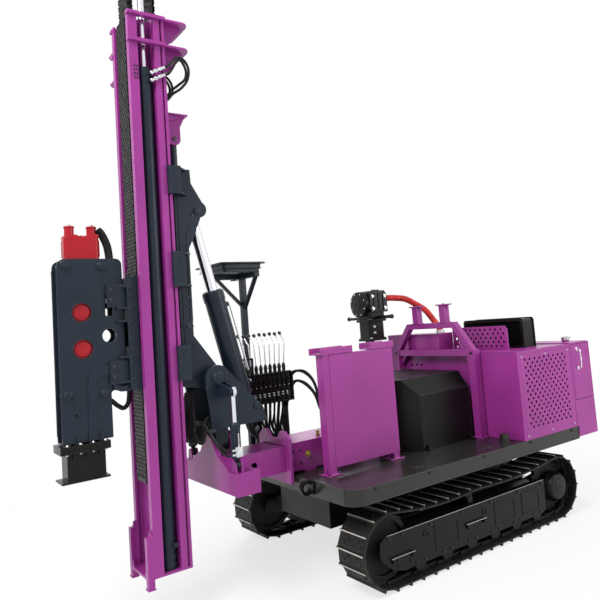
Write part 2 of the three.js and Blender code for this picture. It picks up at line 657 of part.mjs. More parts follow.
// Two plates across the top of the mast, each with gussets behind the mast and a band down each side.
function mastHead() {
  const back = mast.rear + 1;
  const parts = headPlate.levels.flatMap((z) => {
    const ledge = plateZ([
      [back, -mast.halfWidth], [back, mast.halfWidth],
      ...arc(headPlate.tip + 60, mast.halfWidth - 60, 60, 90, 180, 5),
      ...arc(headPlate.tip + 60, -mast.halfWidth + 60, 60, 180, 270, 5),
    ], z - headPlate.thick, z);
    const gussets = both((side) => plateY([
      [back, z - headPlate.thick + 1], [headPlate.tip + 25, z - headPlate.thick + 1],
      [back - 60, z - headPlate.gusset], [back, z - headPlate.gusset],
    ], side * 100, side * 114));
    const bands = both((side) => box(mast.rear - 10, mast.front + 10, side * (mast.halfWidth - headPlate.band),
      side * (mast.halfWidth + headPlate.band), z - headPlate.band, z));
    return [ledge, gussets, bands];
  });
  const spine = box(back - 20, back, -114, 114, headPlate.levels[0] - headPlate.gusset, headPlate.levels[1]);
  return join([...parts, spine]);
}

// Two ears on the right edge of the front flange that lead the hoses.
function hoseEars() {
  const edge = -mast.halfWidth + 1;
  const tip = edge - hoseEar.reach;
  const front = mast.front - 5;
  return join(hoseEar.levels.flatMap((z) => [
    plateZ([
      [front, edge], [front, tip + 40], [front - 30, tip], [front - hoseEar.width, tip], [front - hoseEar.width, edge],
    ], z - hoseEar.thick, z),
    plateX([
      [edge, z - 1], [tip + 30, z - hoseEar.thick - 5], [edge - 30, z - hoseEar.gusset], [edge, z - hoseEar.gusset],
    ], front - hoseEar.width / 2 - 7, front - hoseEar.width / 2 + 7),
  ]));
}

function liftBracket() {
  const back = mast.rear + 1;
  const ledge = box(mast.rear - 225, back, -90, 90, lift.bracketTop - 15, lift.bracketTop);
  const ears = both((side) => plateY([
    [back, lift.bracketTop - 14], [mast.rear - 212, lift.bracketTop - 14], [lift.x - 55, lift.bracketTop - 110],
    ...arc(lift.x, lift.pinZ, 55, 180, 300, 8), [back, lift.pinZ],
  ], side * 34, side * 52));
  const pin = rod([lift.x, -60, lift.pinZ], [lift.x, 60, lift.pinZ], 20, 16);
  const spine = box(back - 20, back, -52, 52, lift.pinZ, lift.bracketTop);
  return join([ledge, ears, pin, spine]);
}

function liftRod() {
  return cut(join([
    rod([lift.x, -26, lift.pinZ], [lift.x, 26, lift.pinZ], 42, 20),
    rod([lift.x, 0, lift.pinZ - 20], [lift.x, 0, lift.top - 800], lift.rod),
  ]), [rod([lift.x, -40, lift.pinZ], [lift.x, 40, lift.pinZ], 20 + PIN_GAP, 16)]);
}

add('mastSlide', 'mast', 'purple', join([mastBeam(), mastFoot(), mastHead(), hoseEars(), liftBracket()]));
add('mastSlide', 'mast_lift_rod', 'chrome', liftRod());

for (const [side, name] of [[1, 'left'], [-1, 'right']]) {
  const y = side * hoist.y;
  const barrel = cut(rod([hoist.x, y, mast.bottom + 1 + SEAT], [hoist.x, y, hoist.top], hoist.barrel), [
    rod([hoist.x, y, mast.bottom + 100], [hoist.x, y, hoist.top + 5], hoist.rod + PIN_GAP),
  ]);
  add('mastSlide', `${name}_hoist_cylinder`, 'steelBlue', barrel);
}
add('mastSlide', 'groove_chain', 'black', box(railBack + mast.web + SEAT, railBack + mast.web + SEAT + chain.thick,
  -chain.width / 2, chain.width / 2, chain.bottom, mast.top));

// ------------------------------------------------------- crosshead and sheave
const sheaveX = (mast.rear + mast.web + railBack) / 2 + crosshead.offset;
const sheaveZ = crosshead.bottom + crosshead.height + crosshead.lift;

function crossheadFrame() {
  const bar = box(sheaveX - 70, sheaveX + 70, -hoist.y - 50, hoist.y + 50, crosshead.bottom,
    crosshead.bottom + crosshead.height);
  const cheeks = both((side) => plateY([
    [sheaveX - 65, crosshead.bottom + 10], [sheaveX + 65, crosshead.bottom + 10],
    ...arc(sheaveX, sheaveZ, 60, 0, 180, 10),
  ], side * (crosshead.sheaveWidth / 2 + RUN), side * (crosshead.sheaveWidth / 2 + RUN + 18)));
  const pinEnd = crosshead.sheaveWidth / 2 + RUN + 22;
  const pin = rod([sheaveX, -pinEnd, sheaveZ], [sheaveX, pinEnd, sheaveZ], 22, 18);
  const slot = box(sheaveX - 200, sheaveX + 200, -crosshead.sheaveWidth / 2 - RUN, crosshead.sheaveWidth / 2 + RUN,
    crosshead.bottom + 25, crosshead.bottom + crosshead.height + 400);
  const rods = both((side) => rod([hoist.x, side * hoist.y, hoist.top - hoist.reach],
    [hoist.x, side * hoist.y, crosshead.bottom + 10], hoist.rod));
  return join([cut(join([bar, cheeks]), [slot]), pin, rods]);
}

function sheaveWheel() {
  const half = crosshead.sheaveWidth / 2;
  const wheel = rod([sheaveX, -half, sheaveZ], [sheaveX, half, sheaveZ], crosshead.sheave, 30);
  return cut(wheel, [rod([sheaveX, -half - 5, sheaveZ], [sheaveX, half + 5, sheaveZ], 22 + PIN_GAP, 18)]);
}

// The chain where it lies over the sheave, with a short run down each side.
function sheaveChain() {
  const steps = 16;
  const inner = (crosshead.sheave + SEAT) / Math.cos(Math.PI / steps / 2);
  const outer = inner + chain.thick;
  const drop = 60;
  return plateY([
    [sheaveX + outer, sheaveZ - drop], ...arc(sheaveX, sheaveZ, outer, 0, 180, steps),
    [sheaveX - outer, sheaveZ - drop], [sheaveX - inner, sheaveZ - drop],
    ...arc(sheaveX, sheaveZ, inner, 180, 0, steps), [sheaveX + inner, sheaveZ - drop],
  ], -chain.width / 2, chain.width / 2);
}

add('crosshead', 'hoist_crosshead', 'chrome', crossheadFrame());
add('crosshead', 'chain_sheave', 'black', sheaveWheel());
add('crosshead', 'sheave_chain', 'black', sheaveChain());

// -------------------------------------------------------------------- hammer
// The carriage runs in the groove beside the chain, with a key on each side in the slots of the rails.
function hammerCarriage() {
  const half = mast.groove - RUN;
  const rear = mast.keyRear + GUIDE;
  const plateFront = mast.front + RUN + carriage.plate;
  const face = box(mast.front + RUN, plateFront, -half, half, carriage.bottom, carriage.top);
  const levels = [[carriage.bottom, carriage.bottom + carriage.level], [carriage.top - carriage.level, carriage.top]];
  const shoes = levels.map(([low, high]) => join([
    both((side) => box(rear, mast.front + RUN + 1, side * (chain.width / 2 + RUN), side * half, low, high)),
    both((side) => box(rear, mast.keyFront - GUIDE, side * (chain.width / 2 + RUN),
      side * (half + RUN + mast.keyDepth - 3), low, high)),
  ]));
  const lugs = [carriage.bottom + 60, carriage.top - 240].map((z) => both((side) => box(
    plateFront - 1, hammer.back + 130, side * (hammer.halfWidth + SEAT), side * (hammer.halfWidth + 26), z, z + 180)));
  const window = box(mast.front, plateFront + 5, -half + carriage.side, half - carriage.side,
    carriage.bottom + 340, carriage.top - 340);
  return cut(join([face, ...shoes, ...lugs]), [window]);
}

function hammerPlate(side) {
  const inner = side * (hammer.halfWidth - hammer.plate);
  const outline = [
    [hammer.lowerBack, hammer.bottom], [hammer.front, hammer.bottom],
    ...arc(hammer.front - 60, hammer.top - 60, 60, 0, 90, 5),
    ...arc(hammer.back + 50, hammer.top - 50, 50, 90, 180, 5),
    ...arc(hammer.back + 90, hammer.waist + 60, 90, 180, 270, 6),
    [hammer.lowerBack, hammer.waist - 60],
  ];
  const holes = [
    disc(3164, 2425, hammer.port, 24), disc(3164, 2145, hammer.port, 24), disc(2966, 2232, hammer.lifting, 20),
    rounded(2930, 2990, 2385, 2550, 12, 2),
  ];
  return plateY(outline, inner, side * hammer.halfWidth, holes);
}

function breaker() {
  const half = hammer.bodyHalf;
  const body = plateZ(rounded(hammer.bodyBack, hammer.bodyFront, -half, half, 30, 3),
    hammer.bottom + 10, hammer.bodyTop);
  const caps = [hammer.bodyBack + 45, hammer.bodyFront - 50].map((x) => rod([x, 0, hammer.bodyTop - 5],
    [x, 0, hammer.bodyTop + hammer.capHeight], hammer.capRadius, 18));
  const centre = (hammer.bodyBack + hammer.bodyFront) / 2;
  const tool = rod([centre, 0, cap.top + 60 + SEAT], [centre, 0, hammer.bottom + 20], 55, 24);
  return join([body, ...caps, tool]);
}

function hammerLinks() {
  const inner = hammer.halfWidth - hammer.plate + 1;
  return join([
    box(hammer.back + 20, hammer.bodyBack - SEAT, -inner, inner, hammer.waist + 140, hammer.waist + 165),
    box(hammer.back + 20, hammer.bodyBack - SEAT, -inner, inner, hammer.top - 120, hammer.top - 95),
    box(hammer.back + 20, hammer.back + 45, -inner, inner, hammer.waist + 140, hammer.top - 95),
  ]);
}

function driveCap() {
  const flange = box(cap.back - cap.flange, cap.front + cap.flange + 15, -cap.half - 25, cap.half + 25, cap.top, cap.top + 60);
  const body = box(cap.back, cap.front, -cap.half, cap.half, cap.bottom, cap.top + 1);
  const rim = box(cap.back - 27, cap.front + 44, -cap.half - 15, cap.half + 15, cap.bottom - cap.foot, cap.bottom + 1);
  const pocket = box(cap.back + cap.wall, cap.front - cap.wall, -cap.half + cap.wall, cap.half - cap.wall,
    cap.bottom - cap.foot - 5, cap.bottom - cap.foot + cap.depth);
  return cut(join([flange, body, rim]), [pocket]);
}

add('hammer', 'hammer_carriage', 'steelBlue', hammerCarriage());
add('hammer', 'hammer_frame', 'steelBlue', join([both(hammerPlate), hammerLinks()]));
add('hammer', 'breaker', 'red', breaker());
add('hammer', 'drive_cap', 'black', driveCap());

// ----------------------------------------------------------- deck equipment
const floorZ = deck.top + SEAT;

function guardPanel() {
  const midY = (guard.inner + guard.outer) / 2;
  const post = (x0, x1) => box(x0, x1, guard.inner, guard.outer, floorZ, guard.top - 60);
  const flange = (x) => box(x - 75, x + 75, guard.inner - 20, guard.outer + 25, floorZ, floorZ + 14);
  const shelf = (x0, x1) => join([
    box(x0, x1, guard.inner - 60, guard.outer + 10, guard.top - 61, guard.top - 45),
    box(x0, x1, guard.outer - 4, guard.outer + 10, guard.top - 61, guard.top),
    box(x0, x1, guard.inner - 60, guard.inner - 46, guard.top - 61, guard.top),
  ]);
  return join([
    post(guard.front - guard.post, guard.front), post(guard.rear, guard.rear + guard.post),
    box(guard.rear + 10, guard.front - 10, midY + 20, midY + 20 + guard.plate, floorZ + 90, guard.top - 61),
    flange(guard.front - guard.post / 2), flange(guard.rear + guard.post / 2),
    shelf(guard.front - 330, guard.front + 25), shelf(guard.rear - 25, guard.rear + 250),
  ]);
}

function cradleFrame() {
  const half = cradle.post / 2;
  const bar = (from, to) => {
    const line = new THREE.Vector3(...to).sub(new THREE.Vector3(...from));
    const geometry = new THREE.BoxGeometry(cradle.post * 0.8, cradle.post * 0.7, line.length());
    geometry.applyQuaternion(new THREE.Quaternion().setFromUnitVectors(new THREE.Vector3(0, 0, 1),
      line.clone().normalize()));
    geometry.translate(...new THREE.Vector3(...from).addScaledVector(line, 0.5).toArray());
    return toSolid(geometry);
  };
  const barMid = cradle.barTop - 30;
  const side = (s) => join([
    box(cradle.x - half, cradle.x + half, s * (cradle.footY - half), s * (cradle.footY + half), floorZ, cradle.postTop),
    box(cradle.x - 55, cradle.x + 55, s * (cradle.footY - 75), s * (cradle.footY + 75), floorZ, floorZ + 14),
    bar([cradle.x, s * cradle.footY, cradle.postTop - 20], [cradle.x, s * cradle.barY, barMid]),
    box(cradle.x - 38, cradle.x + 38, s * (cradle.studY - 42), s * (cradle.studY + 42), barMid, cradle.studTop - 14),
    box(cradle.x - 44, cradle.x + 44, s * (cradle.studY - 60), s * (cradle.studY + 60),
      cradle.studTop - 15, cradle.studTop),
  ]);
  return join([
    both(side), bar([cradle.x, -cradle.barY - 20, barMid], [cradle.x, cradle.barY + 20, barMid]),
    box(cradle.x - 36, cradle.x + 36, -cradle.footY, cradle.footY, cradle.postTop - 66, cradle.postTop),
  ]);
}

function fuelTank() {
  const outer = join([
    plateX([
      [tank.inner, floorZ], [tank.outer, floorZ], [tank.outer, tank.top - 160], [tank.outer - 130, tank.top],
      [tank.inner + 60, tank.top], [tank.inner, tank.top - 60],
    ], tank.rear, tank.front),
  ]);
  const corner = plateZ([[tank.front + 5, tank.outer + 5], [tank.front - 230, tank.outer + 5],
    [tank.front + 5, tank.outer - 260]], floorZ - 5, tank.top + 5);
  return cut(outer, [corner]);
}

add('chassis', 'guard_panel', 'purple', guardPanel());
add('chassis', 'cradle_frame', 'purple', cradleFrame());
add('chassis', 'fuel_tank', 'black', fuelTank());

// -------------------------------------------------------------- engine hood
function hoodFront() {
  return box(hood.front - hood.sheet, hood.front, -hood.half, hood.half, floorZ, hood.top - hood.roof - SEAT);
}

function hoodSide(side) {
  return box(hood.rear + SEAT, hood.front - hood.sheet - SEAT, side * (hood.half - hood.sheet), side * hood.half,
    floorZ, hood.top - hood.roof - SEAT);
}

function hoodRoof() {
  return box(hood.rear + SEAT, hood.front, -hood.half, hood.half, hood.top - hood.roof, hood.top);
}

// Rear compartment: a shell that hangs lower than the deck, with a door in its left wall.
const doorWay = {
  rear: rearBox.rear + rearBox.doorEdge, front: hood.rear - rearBox.doorEdge,
  bottom: rearBox.seam, top: rearBox.top - rearBox.doorEdge,
};

function rearModule() {
  const shell = box(rearBox.rear, hood.rear, -hood.half, hood.half, rearBox.bottom, rearBox.top);
  const inside = box(rearBox.rear + hood.sheet, hood.rear - hood.sheet, -hood.half + hood.sheet,
    hood.half - hood.sheet, rearBox.bottom + hood.sheet, rearBox.top - hood.sheet);
  const way = box(doorWay.rear, doorWay.front, hood.half - hood.sheet - 10, hood.half + 10, doorWay.bottom, doorWay.top);
  const deckSlot = box(deck.rear - SEAT, hood.rear + 10, -hood.half - 5, hood.half + 5,
    rearBox.bottom - 10, deck.top + SEAT);
  const neck = rod([filler.x, filler.y, rearBox.top - 1], [filler.x, filler.y, rearBox.top + filler.height],
    filler.radius, 14);
  return join([cut(shell, [inside, way, deckSlot]), neck]);
}

// Raised box on the hood roof, open below, that the big hose comes down to.
function intakeBox() {
  const outer = box(intake.rear, intake.front, intake.right, intake.left, hood.top + SEAT, intake.top);
  const inside = box(intake.rear + intake.sheet, intake.front - intake.sheet, intake.right + intake.sheet,
    intake.left - intake.sheet, hood.top - 5, intake.top - intake.sheet);
  return cut(outer, [inside]);
}

function sideDoor() {
  const gap = rearBox.doorGap;
  return box(doorWay.rear + GUIDE, doorWay.front - gap, hood.half - hood.sheet + 2, hood.half,
    doorWay.bottom + gap, doorWay.top - gap);
}

add('chassis', 'hood_front', 'purple', hoodFront());
add('chassis', 'hood_left_grille', 'purple', hoodSide(1));
add('chassis', 'hood_right_grille', 'purple', hoodSide(-1));
add('chassis', 'hood_roof', 'purple', hoodRoof());
add('chassis', 'rear_module', 'purple', rearModule());
add('chassis', 'intake_box', 'purple', intakeBox());
groups.sideDoor = new THREE.Group();
groups.chassis.add(groups.sideDoor);
add('sideDoor', 'side_door', 'purple', sideDoor());
add('chassis', 'engine_block', 'black', box(engine.rear, engine.front, -engine.half, engine.half,
  floorZ, engine.top));
add('chassis', 'roof_screen', 'purple', box(screen.x - screen.sheet, screen.x, screen.inner, screen.outer,
  hood.top + SEAT, screen.top));

function coolerBox() {
  const outer = box(cooler.rear, cooler.front, cooler.inner, cooler.outer, hood.top + SEAT, cooler.top);
  const core = box(cooler.rear + cooler.sheet, cooler.front - cooler.sheet, cooler.inner + cooler.sheet,
    cooler.outer - cooler.sheet, hood.top - 5, cooler.top - cooler.sheet);
  return cut(outer, [core]);
}
add('chassis', 'oil_cooler', 'black', coolerBox());

// ----------------------------------------------------------- rotary drive head
function rotaryHead() {
  const square = (half, corner, low, high) => plateZ(rounded(head.x - half, head.x + half, head.y - half,
    head.y + half, corner, 3), low, high);
  return join([
    square(head.half, 25, head.bottom, head.top - 140), square(head.block, 35, head.top - 200, head.top),
    rod([head.x, head.y - head.armRight, head.arms], [head.x, head.y + head.armLeft, head.arms], 18, 12),
  ]);
}

function headStand() {
  const half = head.stand / 2;
  return join([
    box(head.x - half, head.x + half, head.y - half, head.y + half, tank.top + 20, head.bottom + 1),
    box(head.x - 110, head.x + 110, head.y - 110, head.y + 110, tank.top + 6, tank.top + 21),
    box(head.x - 110, head.x + 110, head.y - 110, head.y - 95, floorZ, tank.top + 20),
    box(head.x - 110, head.x + 110, head.y - 110, head.y + 20, floorZ, floorZ + 14),
  ]);
}

add('chassis', 'rotary_head', 'black', join([rotaryHead(), headStand()]));

// ------------------------------------------------------- operator's station
function valveConsole() {
  const half = valves.post / 2;
  const postY = valves.outer + 40;
  const post = (x) => box(x - half, x + half, postY, postY + valves.post, floorZ, valves.bottom + 2);
  return join([
    box(valves.rear, valves.front, valves.outer, valves.inner, valves.bottom, valves.top),
    ...valves.postX.map(post),
  ]);
}

function levers() {
  const first = valves.rear + 40;
  const pitch = (valves.front - valves.rear - 80) / (lever.count - 1);
  const midY = (valves.inner + valves.outer) / 2;
  const base = box(valves.rear + 15, valves.front - 15, midY - 25, midY + 25, valves.top + SEAT, valves.top + 25);
  const one = (index) => {
    const x = first + index * pitch;
    const bend = [x, midY, valves.top + lever.height];
    const tip = [x + 12, midY - lever.lean, valves.top + lever.tip];
    return join([
      rod([x, midY, valves.top + 10], bend, lever.radius, 6), rod(bend, tip, lever.radius, 6),
      rod([tip[0], tip[1], tip[2] - 12], [tip[0], tip[1], tip[2] + 22], lever.knob, 8),
    ]);
  };
  return join([base, ...Array.from({ length: lever.count }, (_, index) => one(index))]);
}

function canopyRoof() {
  return plateZ(rounded(canopy.rear, canopy.front, canopy.outer, canopy.inner, 50, 3), canopy.bottom, canopy.top);
}

function canopyPost() {
  const half = canopy.post / 2;
  return join([
    box(canopy.postX - half, canopy.postX + half, canopy.postY - half, canopy.postY + half, floorZ, canopy.bottom + 1),
    box(canopy.postX - 90, canopy.postX + 90, canopy.postY - 90, canopy.postY + 90, floorZ, floorZ + 14),
    box(canopy.rear + 60, canopy.front - 60, canopy.postY - half, canopy.postY + half,
      canopy.bottom - canopy.bearer, canopy.bottom + 1),
    box(canopy.postX - half, canopy.postX + half, canopy.outer + 60, canopy.inner - 40,
      canopy.bottom - canopy.bearer, canopy.bottom + 1),
  ]);
}

add('chassis', 'valve_console', 'black', valveConsole());
add('chassis', 'levers', 'chrome', levers());
add('chassis', 'canopy', 'steelBlue', join([canopyRoof(), canopyPost()]));

// --------------------------------------------------------------------- hoses
// Held at both ends, each one made whole along its route.
const hoseStart = { x: head.x - head.block - SEAT, y: head.y + 50, z: head.top - 115 };
const hoseEnd = { x: intake.rear + 50, y: intake.left - 150 };
add('chassis', 'red_hose', 'red', tube([
  [hoseStart.x, hoseStart.y, hoseStart.z], [hoseStart.x - 18, hoseStart.y, hoseStart.z],
  [hoseStart.x - 36, hoseStart.y + 1, hoseStart.z], [hoseStart.x - 80, hoseStart.y + 26, hoseStart.z],
  [hoseStart.x - 140, hoseStart.y + 75, hoseStart.z], [hoseStart.x - 255, hoseStart.y + 117, hoseStart.z - 20],
  [hoseStart.x - 355, hoseStart.y + 175, hoseStart.z - 88], [hoseEnd.x + 65, hoseEnd.y - 145, intake.top + 275],
  [hoseEnd.x + 18, hoseEnd.y - 70, intake.top + 150], [hoseEnd.x, hoseEnd.y - 6, intake.top + 60],
  [hoseEnd.x, hoseEnd.y, intake.top + 30], [hoseEnd.x, hoseEnd.y, intake.top + 2],
], 36, 22));

function hammerHoses() {
  const y = 30;
  const startX = hammer.bodyBack + 45 - hammer.capRadius - 10;
  const top = hammer.bodyTop + 64;
  const one = (side) => tube([
    [startX, side * y, top], [startX - 14, side * y, top - 5], [hammer.bodyBack - 34, side * y, top - 38],
    [hammer.bodyBack - 73, side * y, top - 135], [hammer.bodyBack - 87, side * y, hammer.top - 5],
    [hammer.bodyBack - 89, side * y, hammer.top - 94],
  ], 22, 14);
  const clamp = box(hammer.bodyBack - 102, hammer.bodyBack - 74, -y - 10, y + 10, hammer.top - 40, hammer.top - 12);
  return join([both(one), clamp]);
}

add('hammer', 'hammer_hoses', 'rubber', hammerHoses());

// The rig stands with the middle of its footprint at the origin.
const extent = new THREE.Box3().setFromObject(rig);
const middle = extent.getCenter(new THREE.Vector3());
rig.position.set(-middle.x, -middle.y, -extent.min.z);
rig.updateMatrixWorld(true);

export default rig;
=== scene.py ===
import math

import bmesh
import bpy
from mathutils import Matrix, Vector
from mathutils.geometry import delaunay_2d_cdt


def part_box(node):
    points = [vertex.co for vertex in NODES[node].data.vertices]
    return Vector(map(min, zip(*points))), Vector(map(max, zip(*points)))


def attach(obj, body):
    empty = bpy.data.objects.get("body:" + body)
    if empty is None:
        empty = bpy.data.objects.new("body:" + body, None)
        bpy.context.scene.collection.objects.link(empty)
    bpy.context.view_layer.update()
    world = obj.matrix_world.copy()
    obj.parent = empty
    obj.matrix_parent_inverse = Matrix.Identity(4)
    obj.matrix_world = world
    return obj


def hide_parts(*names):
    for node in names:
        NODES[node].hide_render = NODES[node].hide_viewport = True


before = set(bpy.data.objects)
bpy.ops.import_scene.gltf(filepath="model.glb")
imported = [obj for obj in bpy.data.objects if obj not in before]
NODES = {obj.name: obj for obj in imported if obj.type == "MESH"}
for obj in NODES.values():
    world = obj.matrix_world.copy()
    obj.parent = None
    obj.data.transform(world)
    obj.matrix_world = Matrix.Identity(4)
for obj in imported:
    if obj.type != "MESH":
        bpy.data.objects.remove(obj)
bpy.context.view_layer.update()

UP, DOWN, AHEAD, ASTERN = (0, 0, 1), (0, 0, -1), (1, 0, 0), (-1, 0, 0)
# Lengths below are in metres in the part's own frame. The row frame is the same one, moved along X.
SHIFT = Vector((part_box("extension_beam")[0].x - 0.83, 0, 0))


def row(x, y, z):
    """A point of the part's frame, in the row frame."""
    return Vector((x, y, z)) + SHIFT


# ------------------------------------------------------------------ camera
def make_camera():
    """The camera, placed by its own yaw, pitch, roll and lens shift."""
    yaw, pitch, roll = -2.229, 0.088, -0.08
    ahead = Vector((math.cos(pitch) * math.cos(yaw), math.cos(pitch) * math.sin(yaw), math.sin(pitch)))
    right = ahead.cross(Vector(UP)).normalized()
    up = right.cross(ahead)
    right2 = right * math.cos(roll) + up * math.sin(roll)
    up2 = up * math.cos(roll) - right * math.sin(roll)
    camera = bpy.data.objects.new("camera", bpy.data.cameras.new("camera"))
    bpy.context.scene.collection.objects.link(camera)
    camera.matrix_world = Matrix.Translation(row(4.433, 5.198, 2.231)) @ Matrix((right2, up2,
        -ahead)).transposed().to_4x4()
    camera.data.sensor_width = 36
    camera.data.lens = 627.835 / 600 * 36
    camera.data.shift_x = (300 - 355.346) / 600
    camera.data.shift_y = (260.402 - 300) / 600
    camera.data.clip_end = 200
    bpy.context.scene.camera = camera


make_camera()


# --------------------------------------------------------------- materials
def srgb(r, g, b):
    """A colour as the eye names it, 0 to 255, in the linear numbers that shaders use."""
    return tuple(c / 255 / 12.92 if c <= 10 else ((c / 255 + 0.055) / 1.055) ** 2.4 for c in (r, g,
        b)) + (1.0,)


def blank(name):
    """An empty material, with its tree, its shader and its coordinates."""
    made = bpy.data.materials.new(name)
    made.use_nodes = True
    tree = made.node_tree
    shader = tree.nodes["Principled BSDF"]
    coords = tree.nodes.new("ShaderNodeTexCoord")
    return made, tree, shader, coords


def noise(tree, coords, scale, detail=3.0, rough=0.5, stretch=None):
    """Noise over the object, stretched along an axis where stretch is given."""
    node = tree.nodes.new("ShaderNodeTexNoise")
    node.inputs["Scale"].default_value = scale
    node.inputs["Detail"].default_value = detail
    node.inputs["Roughness"].default_value = rough
    source = coords.outputs["Object"]
    if stretch:
        mapping = tree.nodes.new("ShaderNodeMapping")
        mapping.inputs["Scale"].default_value = stretch
        tree.links.new(source, mapping.inputs["Vector"])
        source = mapping.outputs["Vector"]
    tree.links.new(source, node.inputs["Vector"])
    return node.outputs["Fac"]


def ramp(tree, source, low, high, first, last):
    """source, spread from low..high to first..last. first and last are numbers or colours."""
    if isinstance(first, tuple):
        node = tree.nodes.new("ShaderNodeValToRGB")
        node.color_ramp.elements[0].position, node.color_ramp.elements[1].position = low, high
        node.color_ramp.elements[0].color, node.color_ramp.elements[1].color = first, last
        tree.links.new(source, node.inputs["Fac"])
        return node.outputs["Color"]
    node = tree.nodes.new("ShaderNodeMapRange")
    for name, value in zip(("From Min", "From Max", "To Min", "To Max"), (low, high, first, last)):
        node.inputs[name].default_value = value
    tree.links.new(source, node.inputs["Value"])
    return node.outputs["Result"]


def mixed(tree, factor, a, b):
    """Colour a where factor is 0 and b where it is 1."""
    node = tree.nodes.new("ShaderNodeMix")
    node.data_type = "RGBA"
    tree.links.new(factor, node.inputs["Factor"])
    for value, slot in ((a, node.inputs[6]), (b, node.inputs[7])):
        if isinstance(value, tuple):
            slot.default_value = value
        else:
            tree.links.new(value, slot)
    return node.outputs[2]


def bumped(tree, shader, height, strength, distance=0.001):
    """Gives the shader a bump from a height."""
    node = tree.nodes.new("ShaderNodeBump")
    node.inputs["Strength"].default_value = strength
    node.inputs["Distance"].default_value = distance
    tree.links.new(height, node.inputs["Height"])
    tree.links.new(node.outputs["Normal"], shader.inputs["Normal"])


def edge_mask(tree, radius):
    """1 on the outer edges of the shape, 0 on its flats."""
    bevel = tree.nodes.new("ShaderNodeBevel")
    bevel.samples = 3
    bevel.inputs["Radius"].default_value = radius
    geometry = tree.nodes.new("ShaderNodeNewGeometry")
    dot = tree.nodes.new("ShaderNodeVectorMath")
    dot.operation = "DOT_PRODUCT"
    tree.links.new(bevel.outputs["Normal"], dot.inputs[0])
    tree.links.new(geometry.outputs["Normal"], dot.inputs[1])
    return ramp(tree, dot.outputs["Value"], 0.995, 0.9, 0.0, 1.0)


def tinted(colour, k):
    """A colour, darker or lighter by a factor."""
    return tuple(min(1.0, c * k) for c in colour[:3]) + (1.0,)


def paint(name, colour, rough, coat=0.0, metal=0.0, peel=0.25, wear=None, edge_wear_and_highlight_radius=0.004, dust=0.12,
          shine=0.3):
    """Sprayed paint: slow colour drift, orange peel, a little dust, and lighter edges, partly wear and
    partly painted highlight.
    """
    made, tree, shader, coords = blank(name)
    drift = ramp(tree, noise(tree, coords, 1.7, 4), 0.35, 0.65, tinted(colour, 0.9),
                 tinted(colour, 1.08))
    speck = ramp(tree, noise(tree, coords, 38, 5, 0.65), 0.52, 0.75, 0.0, dust)
    base = mixed(tree, speck, drift, tinted(colour, 1.5))
    # The wear colour is a lighter tint of the paint on the edges: partly wear, partly painted highlight.
    if wear:
        edge_wear_and_highlight = tree.nodes.new("ShaderNodeMath")
        edge_wear_and_highlight.operation = "MULTIPLY"
        tree.links.new(edge_mask(tree, edge_wear_and_highlight_radius), edge_wear_and_highlight.inputs[0])
        tree.links.new(ramp(tree, noise(tree, coords, 22, 4, 0.7), 0.42, 0.6, 0.15, 1.0),
                       edge_wear_and_highlight.inputs[1])
        base = mixed(tree, edge_wear_and_highlight.outputs["Value"], base, wear)
    tree.links.new(base, shader.inputs["Base Color"])
    tree.links.new(ramp(tree, noise(tree, coords, 6, 4), 0.3, 0.7, rough - 0.05, rough + 0.07),
                   shader.inputs["Roughness"])
    shader.inputs["Metallic"].default_value = metal
    shader.inputs["Coat Weight"].default_value = coat
    shader.inputs["Coat Roughness"].default_value = 0.12
    shader.inputs["Specular IOR Level"].default_value = shine
    bumped(tree, shader, noise(tree, coords, 260, 2), peel, 0.0006)
    return made


def bare_metal(name, colour, rough, lines=None, bump=0.1, stain=0.25):
    """Unpainted metal: brushed or ground along one direction, with faint stains."""
    made, tree, shader, coords = blank(name)
    stains = ramp(tree, noise(tree, coords, 7, 5, 0.6), 0.45, 0.75, 0.0, stain)
    base = mixed(tree, stains, colour, tinted(colour, 0.55))
    tree.links.new(base, shader.inputs["Base Color"])
    shader.inputs["Metallic"].default_value = 1.0
    grain = noise(tree, coords, 90, 3, 0.6, lines)
    tree.links.new(ramp(tree, grain, 0.3, 0.7, rough * 0.75, rough * 1.3), shader.inputs["Roughness"])
    bumped(tree, shader, grain, bump, 0.0004)
    return made


def rubber(name, colour, rough):
    """Hose cover: fine wrap marks round the hose and rubbed patches."""
    made, tree, shader, coords = blank(name)
    rub = ramp(tree, noise(tree, coords, 14, 4), 0.4, 0.7, tinted(colour, 0.8), tinted(colour, 1.6))
    tree.links.new(rub, shader.inputs["Base Color"])
    tree.links.new(ramp(tree, noise(tree, coords, 30, 3), 0.3, 0.7, rough - 0.08, rough + 0.1),
                   shader.inputs["Roughness"])
    shader.inputs["Specular IOR Level"].default_value = 0.25
    wrap = tree.nodes.new("ShaderNodeTexWave")
    wrap.inputs["Scale"].default_value = 95
    wrap.inputs["Distortion"].default_value = 1.5
    tree.links.new(coords.outputs["UV"], wrap.inputs["Vector"])
    bumped(tree, shader, wrap.outputs["Fac"], 0.25, 0.0008)
    return made


def cast(name, colour, rough, edge=None, radius=0.004):
    """Cast or forged steel with a rough skin, lighter on its edges, partly rubbed and partly painted
    highlight.
    """
    made, tree, shader, coords = blank(name)
    base = ramp(tree, noise(tree, coords, 9, 6, 0.65), 0.35, 0.7, tinted(colour, 0.7),
                tinted(colour, 1.5))
    if edge:
        base = mixed(tree, edge_mask(tree, radius), base, edge)
    tree.links.new(base, shader.inputs["Base Color"])
    tree.links.new(ramp(tree, noise(tree, coords, 25, 4), 0.3, 0.7, rough - 0.1, rough + 0.12),
                   shader.inputs["Roughness"])
    shader.inputs["Metallic"].default_value = 0.1
    shader.inputs["Specular IOR Level"].default_value = 0.3
    bumped(tree, shader, noise(tree, coords, 120, 4, 0.6), 0.35, 0.0012)
    return made


